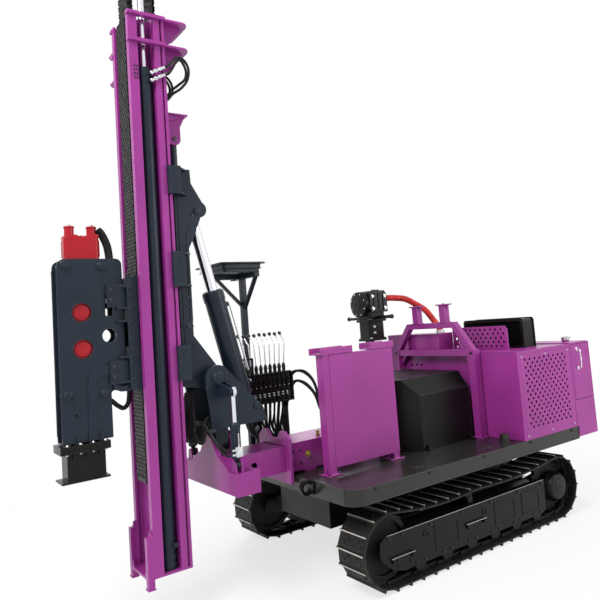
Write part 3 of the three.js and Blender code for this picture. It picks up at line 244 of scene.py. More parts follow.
M = {
    # The lighter wear colours of the paints below are partly wear and partly painted highlight on the
    # edges.
    "purple": paint("purple_gloss", srgb(151, 50, 137), 0.36, coat=0.2, wear=srgb(180, 100, 168),
                    dust=0.03),
    "blue": paint("blue_grey_gloss", srgb(29, 38, 49), 0.38, coat=0.05, wear=srgb(74, 86, 98), dust=0.04,
                  shine=0.22),
    "black": paint("black_satin", srgb(13, 12, 11), 0.3, wear=srgb(56, 54, 50), dust=0.05, shine=0.22),
    "deck": paint("deck_black", srgb(34, 34, 31), 0.36, coat=0.25, peel=0.4, wear=srgb(84, 82, 76),
                  dust=0.25),
    # Painted shade: a near-black finish for sheets, fins and discs that stand where holes and gaps are in
    # shade.
    "shadow": paint("painted_shade_black", srgb(8, 8, 9), 0.7, dust=0.05, shine=0.1),
    "red": paint("red_gloss", srgb(164, 12, 28), 0.38, coat=0.1, wear=srgb(190, 60, 66), dust=0.03),
    "track": cast("track_steel", srgb(24, 23, 21), 0.55, edge=srgb(70, 68, 62)),
    # The chain's lighter edge colour is a painted highlight.
    "chain": cast("oiled_chain", srgb(7, 7, 6), 0.42, edge=srgb(34, 31, 22), radius=0.0012),
    "chrome": bare_metal("hard_chrome", srgb(226, 228, 233), 0.09, lines=(1, 1, 0.05), bump=0.03,
                         stain=0.05),
    "zinc": bare_metal("zinc_plate", srgb(205, 206, 208), 0.28, bump=0.15, stain=0.3),
    "brass": bare_metal("yellow_zinc", srgb(176, 158, 84), 0.33, bump=0.15, stain=0.4),
    "bolt": bare_metal("black_oxide_bolt", srgb(70, 71, 73), 0.4, bump=0.2, stain=0.6),
    "hose": rubber("black_hose", srgb(17, 17, 18), 0.42),
    "red_hose": rubber("red_hose_cover", srgb(186, 48, 44), 0.36),
    "knob": paint("black_knob", srgb(16, 16, 17), 0.25, coat=0.5, dust=0.02),
    # Bright steel: worn on the grousers' tips, and a painted highlight on the track frames' edges.
    "rubbed": paint("worn_steel_and_painted_highlight_edge", srgb(196, 194, 186), 0.38, metal=0.35, dust=0.25),
    "bolt_black": cast("black_bolt", srgb(30, 29, 27), 0.45, edge=srgb(92, 90, 84), radius=0.0015),
    "white": paint("white_block", srgb(222, 224, 226), 0.35, coat=0.2, wear=srgb(150, 150, 150), dust=0.1),
}


# ------------------------------------------------------------ mesh helpers
def arc(cx, cy, radius, first, last, steps):
    """Points of an arc from angle first to angle last, in degrees."""
    turns = [math.radians(first + (last - first) * i / steps) for i in range(steps + 1)]
    return [(cx + radius * math.cos(a), cy + radius * math.sin(a)) for a in turns]


def ring(cx, cy, radius, sides=24, turn=0):
    """Corners of a round hole or disk."""
    return arc(cx, cy, radius, turn, turn + 360, sides)[:-1]


def rounded(x0, x1, y0, y1, r, steps=5):
    """A rectangle with rounded corners."""
    return (arc(x1 - r, y0 + r, r, -90, 0, steps) + arc(x1 - r, y1 - r, r, 0, 90, steps) + arc(x0 + r,
        y1 - r, r, 90, 180, steps) + arc(x0 + r, y0 + r, r, 180, 270, steps))


def arched(y0, y1, z0, z1, foot, inset, r, steps=6):
    """An outline with a flat foot, drawn in by foot, and two rounded upper corners."""
    return ([(y0 + foot, z0), (y1 - foot, z0)] + arc(y1 - inset, z1 - inset, r, 0, 90,
                                                     steps) + arc(y0 + inset, z1 - inset, r, 90, 180,
                                                         steps))


def spline(points, step):
    """Points along a smooth line through the given ones, about step apart."""
    pts = [Vector(p) for p in points]
    pts = [pts[0] * 2 - pts[1]] + pts + [pts[-1] * 2 - pts[-2]]
    out = []
    for a, b, c, d in zip(pts, pts[1:], pts[2:], pts[3:]):
        count = max(2, int((c - b).length / step))
        for i in range(count):
            t = i / count
            square = 2 * a - 5 * b + 4 * c - d
            cube = 3 * b - a - 3 * c + d
            out.append(0.5 * ((2 * b) + (c - a) * t + square * t * t + cube * t ** 3))
    return out + [pts[-2]]


def frame_of(direction):
    """A direction and two more across it."""
    d = Vector(direction).normalized()
    side = d.cross(Vector(UP) if abs(d.z) < 0.9 else Vector(AHEAD)).normalized()
    return d, side, side.cross(d)


PLACE = {"x": lambda a, b, c: (c, a, b), "y": lambda a, b, c: (a, c, b), "z": lambda a, b, c: (a, b, c)}
# Faces of a bar from its eight corners, four at each end.
BAR_FACES = [(0, 1, 2, 3), (7, 6, 5, 4), (0, 4, 5, 1), (1, 5, 6, 2), (2, 6, 7, 3), (3, 7, 4, 0)]
# The material slot for each finish, where a piece names no other.
SLOTS = {
    "purple": "purple_paint", "blue": "blue_grey_paint", "black": "black_paint", "shadow": "black_paint",
    "deck": "black_paint", "track": "track_steel", "rubbed": "track_steel", "bolt_black": "track_steel",
    "chain": "track_steel", "red": "red_paint", "red_hose": "red_rubber", "hose": "black_rubber",
    "knob": "black_rubber", "zinc": "chrome", "chrome": "chrome", "bolt": "chrome", "brass": "chrome",
    "white": "chrome",
}


def span(side, a, b):
    """The two distances from the middle on one side, lowest first."""
    return sorted((side * a, side * b))


class Piece:
    """Gathers closed shapes in the part's frame and makes one object of them, on one body."""

    def __init__(self, name, material, body, slot=None, bevel=0.0, segments=2, smooth=34, hides=()):
        self.bm = bmesh.new()
        self.uv = self.bm.loops.layers.uv.new("UVMap")
        self.name, self.material, self.body, self.slot = name, material, body, slot or SLOTS[material]
        self.bevel, self.segments, self.smooth, self.hides = bevel, segments, smooth, hides

    def shape(self, verts, faces):
        made = [self.bm.verts.new(v) for v in verts]
        for face in faces:
            self.bm.faces.new([made[i] for i in face])
        return self

    def box(self, x0, x1, y0, y1, z0, z1):
        c = [(x, y, z) for x in (x0, x1) for y in (y0, y1) for z in (z0, z1)]
        return self.shape(c, [(0, 1, 3, 2), (4, 6, 7, 5), (0, 4, 5, 1), (2, 3, 7, 6), (0, 2, 6, 4),
                              (1, 5, 7, 3)])

    def beam(self, start, end, width, height, up=UP):
        """A bar of rectangular section from start to end."""
        start, end = Vector(start), Vector(end)
        d = (end - start).normalized()
        side = d.cross(Vector(up)).normalized() * width / 2
        top = side.normalized().cross(d) * height / 2
        c = [p + side * s + top * t for p in (start, end)
             for s, t in ((-1, -1), (1, -1), (1, 1), (-1, 1))]
        return self.shape(c, BAR_FACES)

    def plate(self, verts):
        """A plate from its two outlines, given one after the other."""
        n = len(verts) // 2
        faces = [tuple(range(n)), tuple(range(2 * n - 1, n - 1, -1))]
        faces += [(i, i + n, (i + 1) % n + n, (i + 1) % n) for i in range(n)]
        return self.shape(verts, faces)

    def prism(self, axis, outline, low, high, holes=()):
        """A plate along an axis. The outline's pairs are (y, z), (x, z) or (x, y) for axis x, y or z."""
        place = PLACE[axis]
        if not holes:
            return self.plate([place(a, b, c) for c in (low, high) for a, b in outline])
        loops = [list(outline), *[list(h) for h in holes]]
        flat, edges = [], []
        for loop in loops:
            start = len(flat)
            flat += [Vector(p) for p in loop]
            edges += [(start + i, start + (i + 1) % len(loop)) for i in range(len(loop))]
        verts2, _, faces2, *_ = delaunay_2d_cdt(flat, edges, [], 0, 1e-7)
        keep = []
        for face in faces2:
            middle = sum((verts2[i] for i in face), Vector((0, 0))) / len(face)
            if inside(middle, loops[0]) and not any(inside(middle, h) for h in loops[1:]):
                keep.append(tuple(face))
        n = len(verts2)
        verts = [place(v.x, v.y, c) for c in (low, high) for v in verts2]
        faces = keep + [tuple(i + n for i in reversed(f)) for f in keep]
        seen = {}
        for face in keep:
            for i, j in zip(face, face[1:] + face[:1]):
                seen[frozenset((i, j))] = seen.get(frozenset((i, j)), 0) + 1
        for pair, count in seen.items():
            if count == 1:
                i, j = sorted(pair)
                faces.append((i, j, j + n, i + n))
        used = sorted({i for f in faces for i in f})
        index = {old: new for new, old in enumerate(used)}
        self.shape([verts[i] for i in used], [tuple(index[i] for i in f) for f in faces])
        return self

    def rings(self, start, direction, profile, sides):
        """Points of a turned shape, ring by ring: profile holds (distance along, radius)."""
        start = Vector(start)
        d, side, top = frame_of(direction)
        verts = []
        for distance, radius in profile:
            for i in range(sides):
                a = 2 * math.pi * i / sides
                verts.append(start + d * distance + (side * math.cos(a) + top * math.sin(a)) * radius)
        return verts

    def lathe(self, start, direction, profile, sides=32):
        """A solid turned shape, closed at both ends of its profile."""
        faces = []
        for k in range(len(profile) - 1):
            for i in range(sides):
                j = (i + 1) % sides
                faces.append((k * sides + i, k * sides + j, (k + 1) * sides + j, (k + 1) * sides + i))
        faces.append(tuple(range(sides)))
        last = (len(profile) - 1) * sides
        faces.append(tuple(range(last + sides - 1, last - 1, -1)))
        return self.shape(self.rings(start, direction, profile, sides), faces)

    def cyl(self, start, end, radius, sides=32):
        length = (Vector(end) - Vector(start)).length
        return self.lathe(start, Vector(end) - Vector(start), [(0, radius), (length, radius)], sides)

    def pipe(self, start, direction, profile, sides=32):
        """A turned shape with a bore: profile is a closed loop of (distance, radius)."""
        faces = []
        for k in range(len(profile)):
            for i in range(sides):
                j, m = (i + 1) % sides, (k + 1) % len(profile)
                faces.append((k * sides + i, k * sides + j, m * sides + j, m * sides + i))
        return self.shape(self.rings(start, direction, profile, sides), faces)

    def ball(self, centre, radius, sides=16, squash=1.0):
        steps = sides // 2
        profile = [(-radius * squash * math.cos(math.pi * k / steps),
                    max(1e-4, radius * math.sin(math.pi * k / steps))) for k in range(steps + 1)]
        return self.lathe(centre, UP, profile, sides)

    def bolt(self, at, direction, size, washer=True):
        """A hexagon head, size across its corners, with a washer under it."""
        d = Vector(direction).normalized()
        at = Vector(at)
        if washer:
            self.lathe(at, d, [(0, size * 0.66), (size * 0.1, size * 0.66)], 20)
            at = at + d * size * 0.1
        self.lathe(at, d, [(0, size / 2), (size * 0.3, size / 2), (size * 0.37, size * 0.44)], 6)
        return self

    def tube(self, points, radius, sides=12, step=0.02, ends=None):
        """A round hose or bent bar along a smooth line, with UVs in metres along it."""
        line = spline(points, step) if step else [Vector(p) for p in points]
        tangents = [(b - a).normalized() for a, b in zip([line[0], *line[:-1]], [*line[1:], line[-1]])]
        _, side, _ = frame_of(tangents[0])
        rings, walked, lengths = [], 0.0, []
        for i, (p, t) in enumerate(zip(line, tangents)):
            side = (side - t * side.dot(t)).normalized()
            top = t.cross(side)
            walked += (p - line[i - 1]).length if i else 0
            lengths.append(walked)
            ring_points = []
            for k in range(sides):
                a = 2 * math.pi * k / sides
                ring_points.append(self.bm.verts.new(p + (side * math.cos(a) + top * math.sin(a)) * radius))
            rings.append(ring_points)
        for i in range(len(rings) - 1):
            for k in range(sides):
                m = (k + 1) % sides
                face = self.bm.faces.new((rings[i][k], rings[i][m], rings[i + 1][m], rings[i + 1][k]))
                for loop, v in zip(face.loops, (i, i, i + 1, i + 1)):
                    loop[self.uv].uv = (lengths[v],
                                        (k if loop.vert in (rings[i][k],
                                            rings[i + 1][k]) else k + 1) / sides)
        self.bm.faces.new(list(reversed(rings[0])))
        self.bm.faces.new(rings[-1])
        return self

    def done(self):
        bmesh.ops.recalc_face_normals(self.bm, faces=self.bm.faces)
        bmesh.ops.translate(self.bm, verts=self.bm.verts, vec=SHIFT)
        mesh = bpy.data.meshes.new(self.name)
        self.bm.to_mesh(mesh)
        self.bm.free()
        made = bpy.data.objects.new(self.name, mesh)
        bpy.context.scene.collection.objects.link(made)
        mesh.materials.append(M[self.material])
        mesh.shade_smooth()
        if self.bevel:
            soften(made, self.bevel, self.segments, self.smooth)
        else:
            mesh.set_sharp_from_angle(angle=math.radians(self.smooth))
        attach(made, self.body)
        if self.hides:
            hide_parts(*self.hides)
        return made


def hose(name, material, body, points, radius, step=0.012, sides=12, hides=()):
    """A hose held at both ends, on the line that it really takes."""
    line = spline(points, step)
    piece = Piece(name, material, body, hides=hides)
    piece.tube(line, radius, sides, 0)
    made = piece.done()
    return made


def inside(p, loop):
    """Whether a point is inside a closed outline."""
    hit = False
    for (ax, ay), (bx, by) in zip(loop, [*loop[1:], loop[0]]):
        if (ay > p.y) != (by > p.y) and p.x < (bx - ax) * (p.y - ay) / (by - ay) + ax:
            hit = not hit
    return hit


def soften(obj, width, segments=2, angle=34):
    """Rounds the outer edges, so that they catch the light as real ones do."""
    bevel = obj.modifiers.new("edges", "BEVEL")
    bevel.width, bevel.segments = width, segments
    bevel.limit_method, bevel.angle_limit = "ANGLE", math.radians(angle)
    bevel.harden_normals = False
    bevel.use_clamp_overlap = True
    bevel.miter_outer = "MITER_ARC"
    normals = obj.modifiers.new("normals", "WEIGHTED_NORMAL")
    normals.keep_sharp = False
    normals.weight = 60


def dress(node, material, bevel=0.0025):
    """Gives a CAD node its finish, with its flat faces merged and its edges rounded."""
    obj = NODES[node]
    obj.data.materials.clear()
    obj.data.materials.append(M[material])
    for name in ("custom_normal", "sharp_face", "sharp_edge"):
        layer = obj.data.attributes.get(name)
        if layer:
            obj.data.attributes.remove(layer)
    obj.data.shade_smooth()
    weld = obj.modifiers.new("weld", "WELD")
    weld.merge_threshold = 0.00002
    flat = obj.modifiers.new("flat", "DECIMATE")
    flat.decimate_type, flat.angle_limit = "DISSOLVE", math.radians(1.0)
    if bevel:
        soften(obj, bevel)


# --------------------------------------------------- finish of the CAD nodes
FINISH = {
    "purple": ["beam_sleeve", "guard_panel", "cradle_frame", "hood_front", "hood_left_grille",
               "hood_right_grille",
               "hood_roof", "rear_module", "intake_box", "roof_screen", "side_door", "extension_beam",
               "cross_head", "mast"],
    "blue": ["canopy", "left_swing_cylinder", "right_swing_cylinder", "swing_bracket", "tilt_cylinder",
             "mast_support", "mast_lift_rod", "left_hoist_cylinder", "right_hoist_cylinder",
             "hammer_carriage", "hammer_frame"],
    "black": ["left_track_frame", "right_track_frame", "car_body", "fuel_tank", "engine_block",
              "oil_cooler",
              "rotary_head", "valve_console", "mast_lift_cylinder", "drive_cap"],
    "track": ["left_track", "right_track", "left_idler", "right_idler", "left_sprocket", "right_sprocket"],
    "chain": ["groove_chain", "chain_sheave", "sheave_chain"],
    "chrome": ["levers", "left_swing_rod", "right_swing_rod", "tilt_rod", "hoist_crosshead"],
    "hose": ["hammer_hoses"],
    "red_hose": ["red_hose"],
    "red": ["breaker"],
    "deck": ["deck"],
}


def dress_all():
    """Gives every CAD node its finish."""
    known = {node: kind for kind, nodes in FINISH.items() for node in nodes}
    for node in NODES:
        dress(node, known[node],
              0.0015 if known[node] in ("chrome", "hose", "red_hose", "chain") else 0.003)


dress_all()


# ------------------------------------------------------------------ tracks
WHEEL_X, TRACK_R, TRACK_Y, SHOES, SHOE_HALF = 1.125, 0.325, 0.94, 46, 0.18
CARRIER_X, CREST = 0.1, 0.605


def hang(x, x0, z0, x1, z1, sag):
    """Height at x of a track that sags between two points."""
    t = (x - x0) / (x1 - x0)
    return z0 + (z1 - z0) * t - 4 * sag * t * (1 - t)


def track_line():
    """The track's outer line in X-Z, and the length walked at each point."""
    points = [(1.125 - 0.04 * i, 0.0) for i in range(57)]
    points += arc(-WHEEL_X, TRACK_R, TRACK_R, 270, 90, 48)
    x = -WHEEL_X + 0.04
    while x < CARRIER_X:
        points.append((x, hang(x, -WHEEL_X, 0.65, CARRIER_X, CREST, 0.034)))
        x += 0.04
    x = CARRIER_X
    while x < WHEEL_X:
        points.append((x, hang(x, CARRIER_X, CREST, WHEEL_X, 0.65, 0.042)))
        x += 0.04
    points += arc(WHEEL_X, TRACK_R, TRACK_R, 90, -90, 48)
    lengths = [0.0]
    for (ax, az), (bx, bz) in zip(points, points[1:]):
        lengths.append(lengths[-1] + math.hypot(bx - ax, bz - az))
    return points, lengths


LINE, WALK = track_line()


def on_track(distance):
    """The point (x, z) at a distance along the track's outer line."""
    at = distance % WALK[-1]
    i = 1
    while WALK[i] <= at and i < len(WALK) - 1:
        i += 1
    (ax, az), (bx, bz) = LINE[i - 1], LINE[i]
    length = WALK[i] - WALK[i - 1]
    t = (at - WALK[i - 1]) / length
    return ax + (bx - ax) * t, az + (bz - az) * t


def track_mapper(distance, y):
    """Turns (along, across, inward) of one stiff shoe into the part's frame."""
    pitch = WALK[-1] / SHOES
    ax, az = on_track(distance)
    bx, bz = on_track(distance + pitch)
    length = math.hypot(bx - ax, bz - az)
    f = ((bx - ax) / length, (bz - az) / length)
    n = (f[1], -f[0])
    return lambda t, s, d: (ax + f[0] * t + n[0] * d, y + s, az + f[1] * t + n[1] * d)


def extruded(piece, outline, low, high, place):
    """A plate with its outline in (along, inward), from low to high across the track."""
    piece.plate([place(t, s, d) for s in (low, high) for t, d in outline])


def make_track(side, name):
    """Shoes, rubbed grousers, links and bolts of one track."""
    y = side * TRACK_Y
    pitch = WALK[-1] / SHOES
    shoes = Piece(name + "_shoes", "track", "chassis", bevel=0.0015, segments=1, hides=[name])
    rubbed = Piece(name + "_rubbed_edges", "rubbed", "chassis")
    links = Piece(name + "_links", "track", "chassis", bevel=0.002, segments=1)
    heads = Piece(name + "_shoe_bolts", "bolt_black", "chassis")
    plate = [(0.004, 0.034), (-0.006, 0.031), (-0.003, 0.024), (0.012, 0.022), (0.017, 0.002),
             (0.027, 0.002), (0.033, 0.022), (pitch - 0.022, 0.022), (pitch - 0.01, 0.0245),
             (pitch - 0.008, 0.0335)]
    strip = [(0.0168, 0.0), (0.0168, 0.0035), (0.0272, 0.0035), (0.0272, 0.0)]
    for k in range(SHOES):
        place = track_mapper(k * pitch, y)
        extruded(shoes, plate, -SHOE_HALF, SHOE_HALF, place)
        extruded(rubbed, strip, -SHOE_HALF + 0.002, SHOE_HALF - 0.002, place)
        offset = 0.052 if k % 2 else 0.071
        link = arc(0.0, 0.046, 0.0135, 90, 270, 6) + [(0.05, 0.0345), (pitch - 0.05, 0.0345)] \
            + arc(pitch, 0.046, 0.0135, -90, 90, 6) + [(pitch * 0.5, 0.0585)]
        for edge in (-1, 1):
            low, high = sorted((edge * offset, edge * (offset + 0.018)))
            extruded(links, link, low, high, place)
        centre = place(0.0, 0.0, 0.046)
        links.cyl((centre[0], y - 0.094, centre[2]), (centre[0], y + 0.094, centre[2]), 0.0085, 12)
        links.cyl((centre[0], y - 0.05, centre[2]), (centre[0], y + 0.05, centre[2]), 0.0125, 14)
        outward = Vector(place(0, 0, 0)) - Vector(place(0, 0, 1))
        for s in (-0.105, -0.062, 0.062, 0.105):
            heads.bolt(place(pitch * (0.5 if abs(s) < 0.1 else 0.72), s, 0.022), outward, 0.021,
                       washer=False)
    for piece in (shoes, rubbed, links, heads):
        piece.done()


def make_track_frame(side, name):
    """One track frame's guards, steps, covers, bolts, travel motor and idler hub."""
    y = side * TRACK_Y

    def out(distance):
        """A place across the track, so far out from its middle."""
        return y + side * distance

    def low(a, b):
        return sorted((out(a), out(b)))

    # Guard plates that cover the rollers, joined to the beam by a sloping top.
    plates = Piece(name + "_frame_guards", "black", "chassis", bevel=0.003)
    outline = [(-0.93, 0.145), (-0.86, 0.118), (0.98, 0.118), (1.1, 0.15), (1.215, 0.245), (1.235, 0.3),
               (1.225, 0.395), (1.15, 0.437), (-0.94, 0.437)]
    plates.prism("y", outline, *low(0.124, 0.134))
    inner = [(-0.93, 0.135), (-0.86, 0.118), (0.86, 0.118), (0.93, 0.135), (0.93, 0.437),
             (-0.93, 0.437)]
    plates.prism("y", inner, *low(-0.134, -0.134 + 0.01))
    for s in (1, -1):
        n = 1 if s * side > 0 else -1
        inner_y, outer_y = y + n * 0.086, y + n * 0.13
        plates.prism("x", [(inner_y, 0.447), (outer_y, 0.432), (outer_y, 0.424), (inner_y, 0.436)],
                     -0.92, 0.92)
    for x in (-0.7, -0.4, -0.08, 0.24, 0.56, 0.86):
        for s in (1, -1):
            n = 1 if s * side > 0 else -1
            a, b = sorted((y + n * 0.088, y + n * 0.126))
            plates.box(x - 0.006, x + 0.006, a, b, 0.205, 0.43)
    plates.done()

    # Painted highlight: thin bright strips along the guard's top edge and the steps' front edges, partly
    # wear.
    bright = Piece(name + "_frame_painted_highlight_edges", "rubbed", "chassis", "black_paint")
    bright.box(-0.925, 1.145, *low(0.1335, 0.135), 0.4325, 0.4355)
    steps = Piece(name + "_frame_steps", "black", "chassis", bevel=0.002)
    for x0, x1, z in ((0.872, 1.136, 0.254), (-0.024, 0.245, 0.297)):
        steps.box(x0, x1, *low(0.134, 0.158), z - 0.008, z)
        steps.box(x0 + 0.02, x0 + 0.03, *low(0.134, 0.154), z - 0.045, z - 0.007)
        steps.box(x1 - 0.03, x1 - 0.02, *low(0.134, 0.154), z - 0.045, z - 0.007)
        bright.box(x0 + 0.004, x1 - 0.004, *low(0.157, 0.159), z - 0.0035, z + 0.0006)
    for z0, z1, x0, x1 in ((0.165, 0.385, 0.32, 0.62), (0.15, 0.255, 0.9, 1.06),
                           (0.165, 0.385, -0.46, -0.16), (0.165, 0.385, -0.84, -0.56)):
        cover = rounded(x0, x1, z0, z1, 0.022)
        hole = rounded(x0 + 0.02, x1 - 0.02, z0 + 0.02, z1 - 0.02, 0.014)
        steps.prism("y", cover, *low(0.134, 0.139), holes=[hole])
    # Lifting holes' rims and the grease cover of the track adjuster.
    for x in (0.72, -0.02):
        steps.pipe((x, out(0.134), 0.345), (0, side, 0), [(0, 0.03), (0.007, 0.03), (0.007, 0.02),
                                                          (0, 0.02)], 24)
    steps.done()
    bright.done()

    screws = Piece(name + "_frame_bolts", "bolt_black", "chassis", "black_paint")
    for x in (-0.88, -0.52, -0.12, 0.27, 0.66, 0.99, 1.13):
        screws.bolt((x, out(0.134), 0.405), (0, side, 0), 0.026)
    for i in range(6):
        x = -0.79 + 1.59 * i / 5
        for dx in (-0.05, 0.05):
            screws.bolt((x + dx, out(0.134), 0.143), (0, side, 0), 0.024)
    for z0, z1, x0, x1 in ((0.165, 0.385, 0.32, 0.62), (0.165, 0.385, -0.46, -0.16),
                           (0.165, 0.385, -0.84, -0.56)):
        for x in (x0 + 0.01, x1 - 0.01):
            for z in (z0 + 0.01, z1 - 0.01):
                screws.lathe((x, out(0.139), z), (0, side, 0), [(0, 0.007), (0.004, 0.006)], 12)
    screws.done()

    # Travel motor cover at the rear and the idler's hub at the front.
    hub = Piece(name + "_travel_motor", "black", "chassis", bevel=0.003)
    hub.lathe((-WHEEL_X, out(0.055), TRACK_R), (0, side, 0),
              [(0, 0.15), (0.05, 0.15), (0.064, 0.14), (0.085, 0.138), (0.098, 0.128), (0.112, 0.122),
               (0.118, 0.11), (0.119, 0.06), (0.124, 0.056), (0.124, 0.004)], 48)
    hub.done()
    ringed = Piece(name + "_travel_motor_bolts", "bolt_black", "chassis", "black_paint")
    for i in range(12):
        a = 2 * math.pi * i / 12
        ringed.bolt((-WHEEL_X + 0.094 * math.cos(a), out(0.1185), TRACK_R + 0.094 * math.sin(a)),
                    (0, side, 0), 0.017, washer=False)
    for i in range(3):
        a = 2 * math.pi * (i + 0.4) / 3
        ringed.cyl((-WHEEL_X + 0.034 * math.cos(a), out(0.122), TRACK_R + 0.034 * math.sin(a)),
                   (-WHEEL_X + 0.034 * math.cos(a), out(0.128), TRACK_R + 0.034 * math.sin(a)), 0.009,
                   12)
    ringed.done()
    idler = Piece(name + "_idler_hub", "track", "chassis", bevel=0.003)
    for n in (1, -1):
        idler.lathe((WHEEL_X, y + n * 0.088, TRACK_R), (0, n, 0),
                    [(0, 0.085), (0.012, 0.085), (0.016, 0.07), (0.028, 0.066), (0.031, 0.05),
                     (0.031, 0.005)], 36)
    idler.done()


for sign, label in ((1, "left_track"), (-1, "right_track")):
    make_track(sign, label)
    make_track_frame(sign, label)


# ------------------------------------------------------------ deck and hood
def circle_rows(a0, a1, b0, b1, columns, rows, radius, sides=12):
    """Staggered rows of round holes that fill a rectangle."""
    holes = []
    step_a = (a1 - a0) / (columns - 0.5)
    for r in range(rows):
        b = b0 + (b1 - b0) * r / (rows - 1)
        for c in range(columns):
            holes.append(ring(a0 + step_a * (c + (0.5 if r % 2 else 0.0)), b, radius, sides))
    return holes


FLOOR = 0.8653
HOOD_HALF, HOOD_TOP, HOOD_FRONT, HOOD_REAR = 1.118, 1.741, -0.66, -1.556


def make_side_grille(side, name):
    """The perforated side of the hood, its rim, a dark core in painted shade behind the holes, and its
    screws.
    """
    x0, x1, z0, z1 = HOOD_REAR + 0.0005, HOOD_FRONT - 0.0225, 0.8685, 1.7165
    inner, outer = span(side, HOOD_HALF - 0.007, HOOD_HALF - 0.001)
    sheet = Piece(name + "_perforated", "purple", "chassis", smooth=40, hides=[name])
    holes = circle_rows(x0 + 0.105, x1 - 0.095, 0.985, 1.655, 9, 18, 0.015)
    sheet.prism("y", [(x0 + 0.03, z0 + 0.02), (x1 - 0.022, z0 + 0.02), (x1 - 0.022, z1 - 0.015),
                      (x0 + 0.03, z1 - 0.015)], inner, outer, holes)
    sheet.done()
    rim = Piece(name + "_rim", "purple", "chassis", bevel=0.003)
    hole = [(x0 + 0.034, z0 + 0.024), (x1 - 0.026, z0 + 0.024), (x1 - 0.026, z1 - 0.019),
            (x0 + 0.034, z1 - 0.019)]
    rim.prism("y", [(x0, FLOOR), (x1, FLOOR), (x1, z1), (x0, z1)],
              *span(side, HOOD_HALF - 0.022, HOOD_HALF - 0.003), holes=[hole])
    rim.done()
    # Painted shade: near-black fins and a backing sheet behind the holes, so that the holes read dark.
    dark = Piece(name + "_painted_shade_core", "shadow", "chassis")
    for k in range(56):
        x = x0 + 0.04 + (x1 - x0 - 0.08) * k / 55
        dark.box(x, x + 0.004, *span(side, HOOD_HALF - 0.06, HOOD_HALF - 0.032), z0 + 0.01, z1 - 0.03)
    dark.box(x0 + 0.02, x1 - 0.02, *span(side, HOOD_HALF - 0.075, HOOD_HALF - 0.06), z0 + 0.005,
             z1 - 0.02)
    dark.done()
    screws = Piece(name + "_screws", "zinc", "chassis", "purple_paint")
    for x in (x0 + 0.048, (x0 + x1) / 2, x1 - 0.04):
        for z in (z0 + 0.038, z1 - 0.03):
            screws.lathe((x, side * (HOOD_HALF - 0.001), z), (0, side, 0),
                         [(0, 0.008), (0.003, 0.008), (0.005, 0.005)], 14)
    screws.done()


def make_hood_details():
    """Seams of the hood and rear box, vent holes, filler cap, doors and latches."""
    # Folded lips where the sheets meet, and a slow bow of the roof seam.
    trim = Piece("hood_seams", "purple", "chassis", bevel=0.002)
    trim.box(HOOD_REAR + 0.01, HOOD_FRONT + 0.004, -HOOD_HALF + 0.02, HOOD_HALF - 0.02,
             HOOD_TOP + 0.0004, HOOD_TOP + 0.005)
    for y in (-0.56, 0.0):
        trim.box(HOOD_REAR + 0.06, HOOD_FRONT - 0.06, y - 0.012, y + 0.012, HOOD_TOP + 0.005,
                 HOOD_TOP + 0.013)
    trim.prism("x", rounded(-0.56, 0.56, 1.01, 1.66, 0.03), HOOD_FRONT, HOOD_FRONT + 0.003,
               holes=[ring(y, 1.6, 0.017, 20) for y in (-0.439, -0.36, -0.281)])
    trim.done()
    holes = Piece("hood_front_hole_shadows", "shadow", "chassis")
    for y in (-0.439, -0.36, -0.281):
        holes.lathe((HOOD_FRONT + 0.0002, y, 1.6), AHEAD, [(0, 0.0172), (0.0008, 0.0172)], 20)
    holes.done()

    cap = Piece("filler_cap", "zinc", "chassis", bevel=0.0015)
    cap.lathe((-1.77, 0.93, HOOD_TOP + 0.031), UP, [(0, 0.05), (0.012, 0.05), (0.014, 0.044),
                                                    (0.02, 0.044), (0.0225, 0.056), (0.036, 0.056),
                                                    (0.042, 0.05), (0.045, 0.02), (0.045, 0.003)], 40)
    for k in range(3):
        a = 2 * math.pi * k / 3
        cap.beam((-1.77 + 0.05 * math.cos(a), 0.93 + 0.05 * math.sin(a), HOOD_TOP + 0.06),
                 (-1.77 + 0.062 * math.cos(a), 0.93 + 0.062 * math.sin(a), HOOD_TOP + 0.06), 0.02,
                 0.012)
    cap.done()

    rear = Piece("rear_box_seams", "purple", "chassis", bevel=0.002)
    x0, x1 = -1.919, HOOD_REAR
    for side in (1, -1):
        lo, hi = span(side, HOOD_HALF + 0.0003, HOOD_HALF - 0.004)
        rear.box(x0 + 0.004, x1 - 0.006, lo, hi, 0.765, 0.775)
    rear.box(x0 + 0.02, x1 - 0.02, -HOOD_HALF + 0.02, HOOD_HALF - 0.02, 1.752, 1.7555)
    # The back wall: two service doors with a rolled rim and ventilation slots.
    for y0, y1 in ((-1.06, -0.03), (0.03, 1.06)):
        slots = [rounded(y0 + 0.18, y1 - 0.18, z, z + 0.016, 0.0078,
                         3) for z in [1.3 + 0.05 * k for k in range(6)]]
        rear.prism("x", rounded(y0, y1, 0.82, 1.68, 0.025), x0 - 0.004, x0, holes=slots)
    rear.done()
    slots = Piece("rear_box_slot_shadows", "shadow", "chassis")
    for y0, y1 in ((-1.06, -0.03), (0.03, 1.06)):
        for k in range(6):
            slots.box(x0 - 0.0008, x0 - 0.0002, y0 + 0.175, y1 - 0.175, 1.298 + 0.05 * k,
                      1.318 + 0.05 * k)
    slots.done()
    latches = Piece("rear_box_latches", "zinc", "chassis", bevel=0.0015)
    for y in (-0.1, 0.1):
        latches.box(x0 - 0.012, x0 - 0.004, y - 0.018, y + 0.018, 1.2, 1.29)
        latches.cyl((x0 - 0.018, y, 1.245), (x0 - 0.01, y, 1.245), 0.012, 20)
    for y in (-1.045, 1.045, -0.045, 0.045):
        for z in (0.84, 1.66):
            latches.lathe((x0 - 0.004, y + (0.02 if y < 0 else -0.02), z), ASTERN,
                          [(0, 0.009), (0.003, 0.008)], 14)
    latches.done()


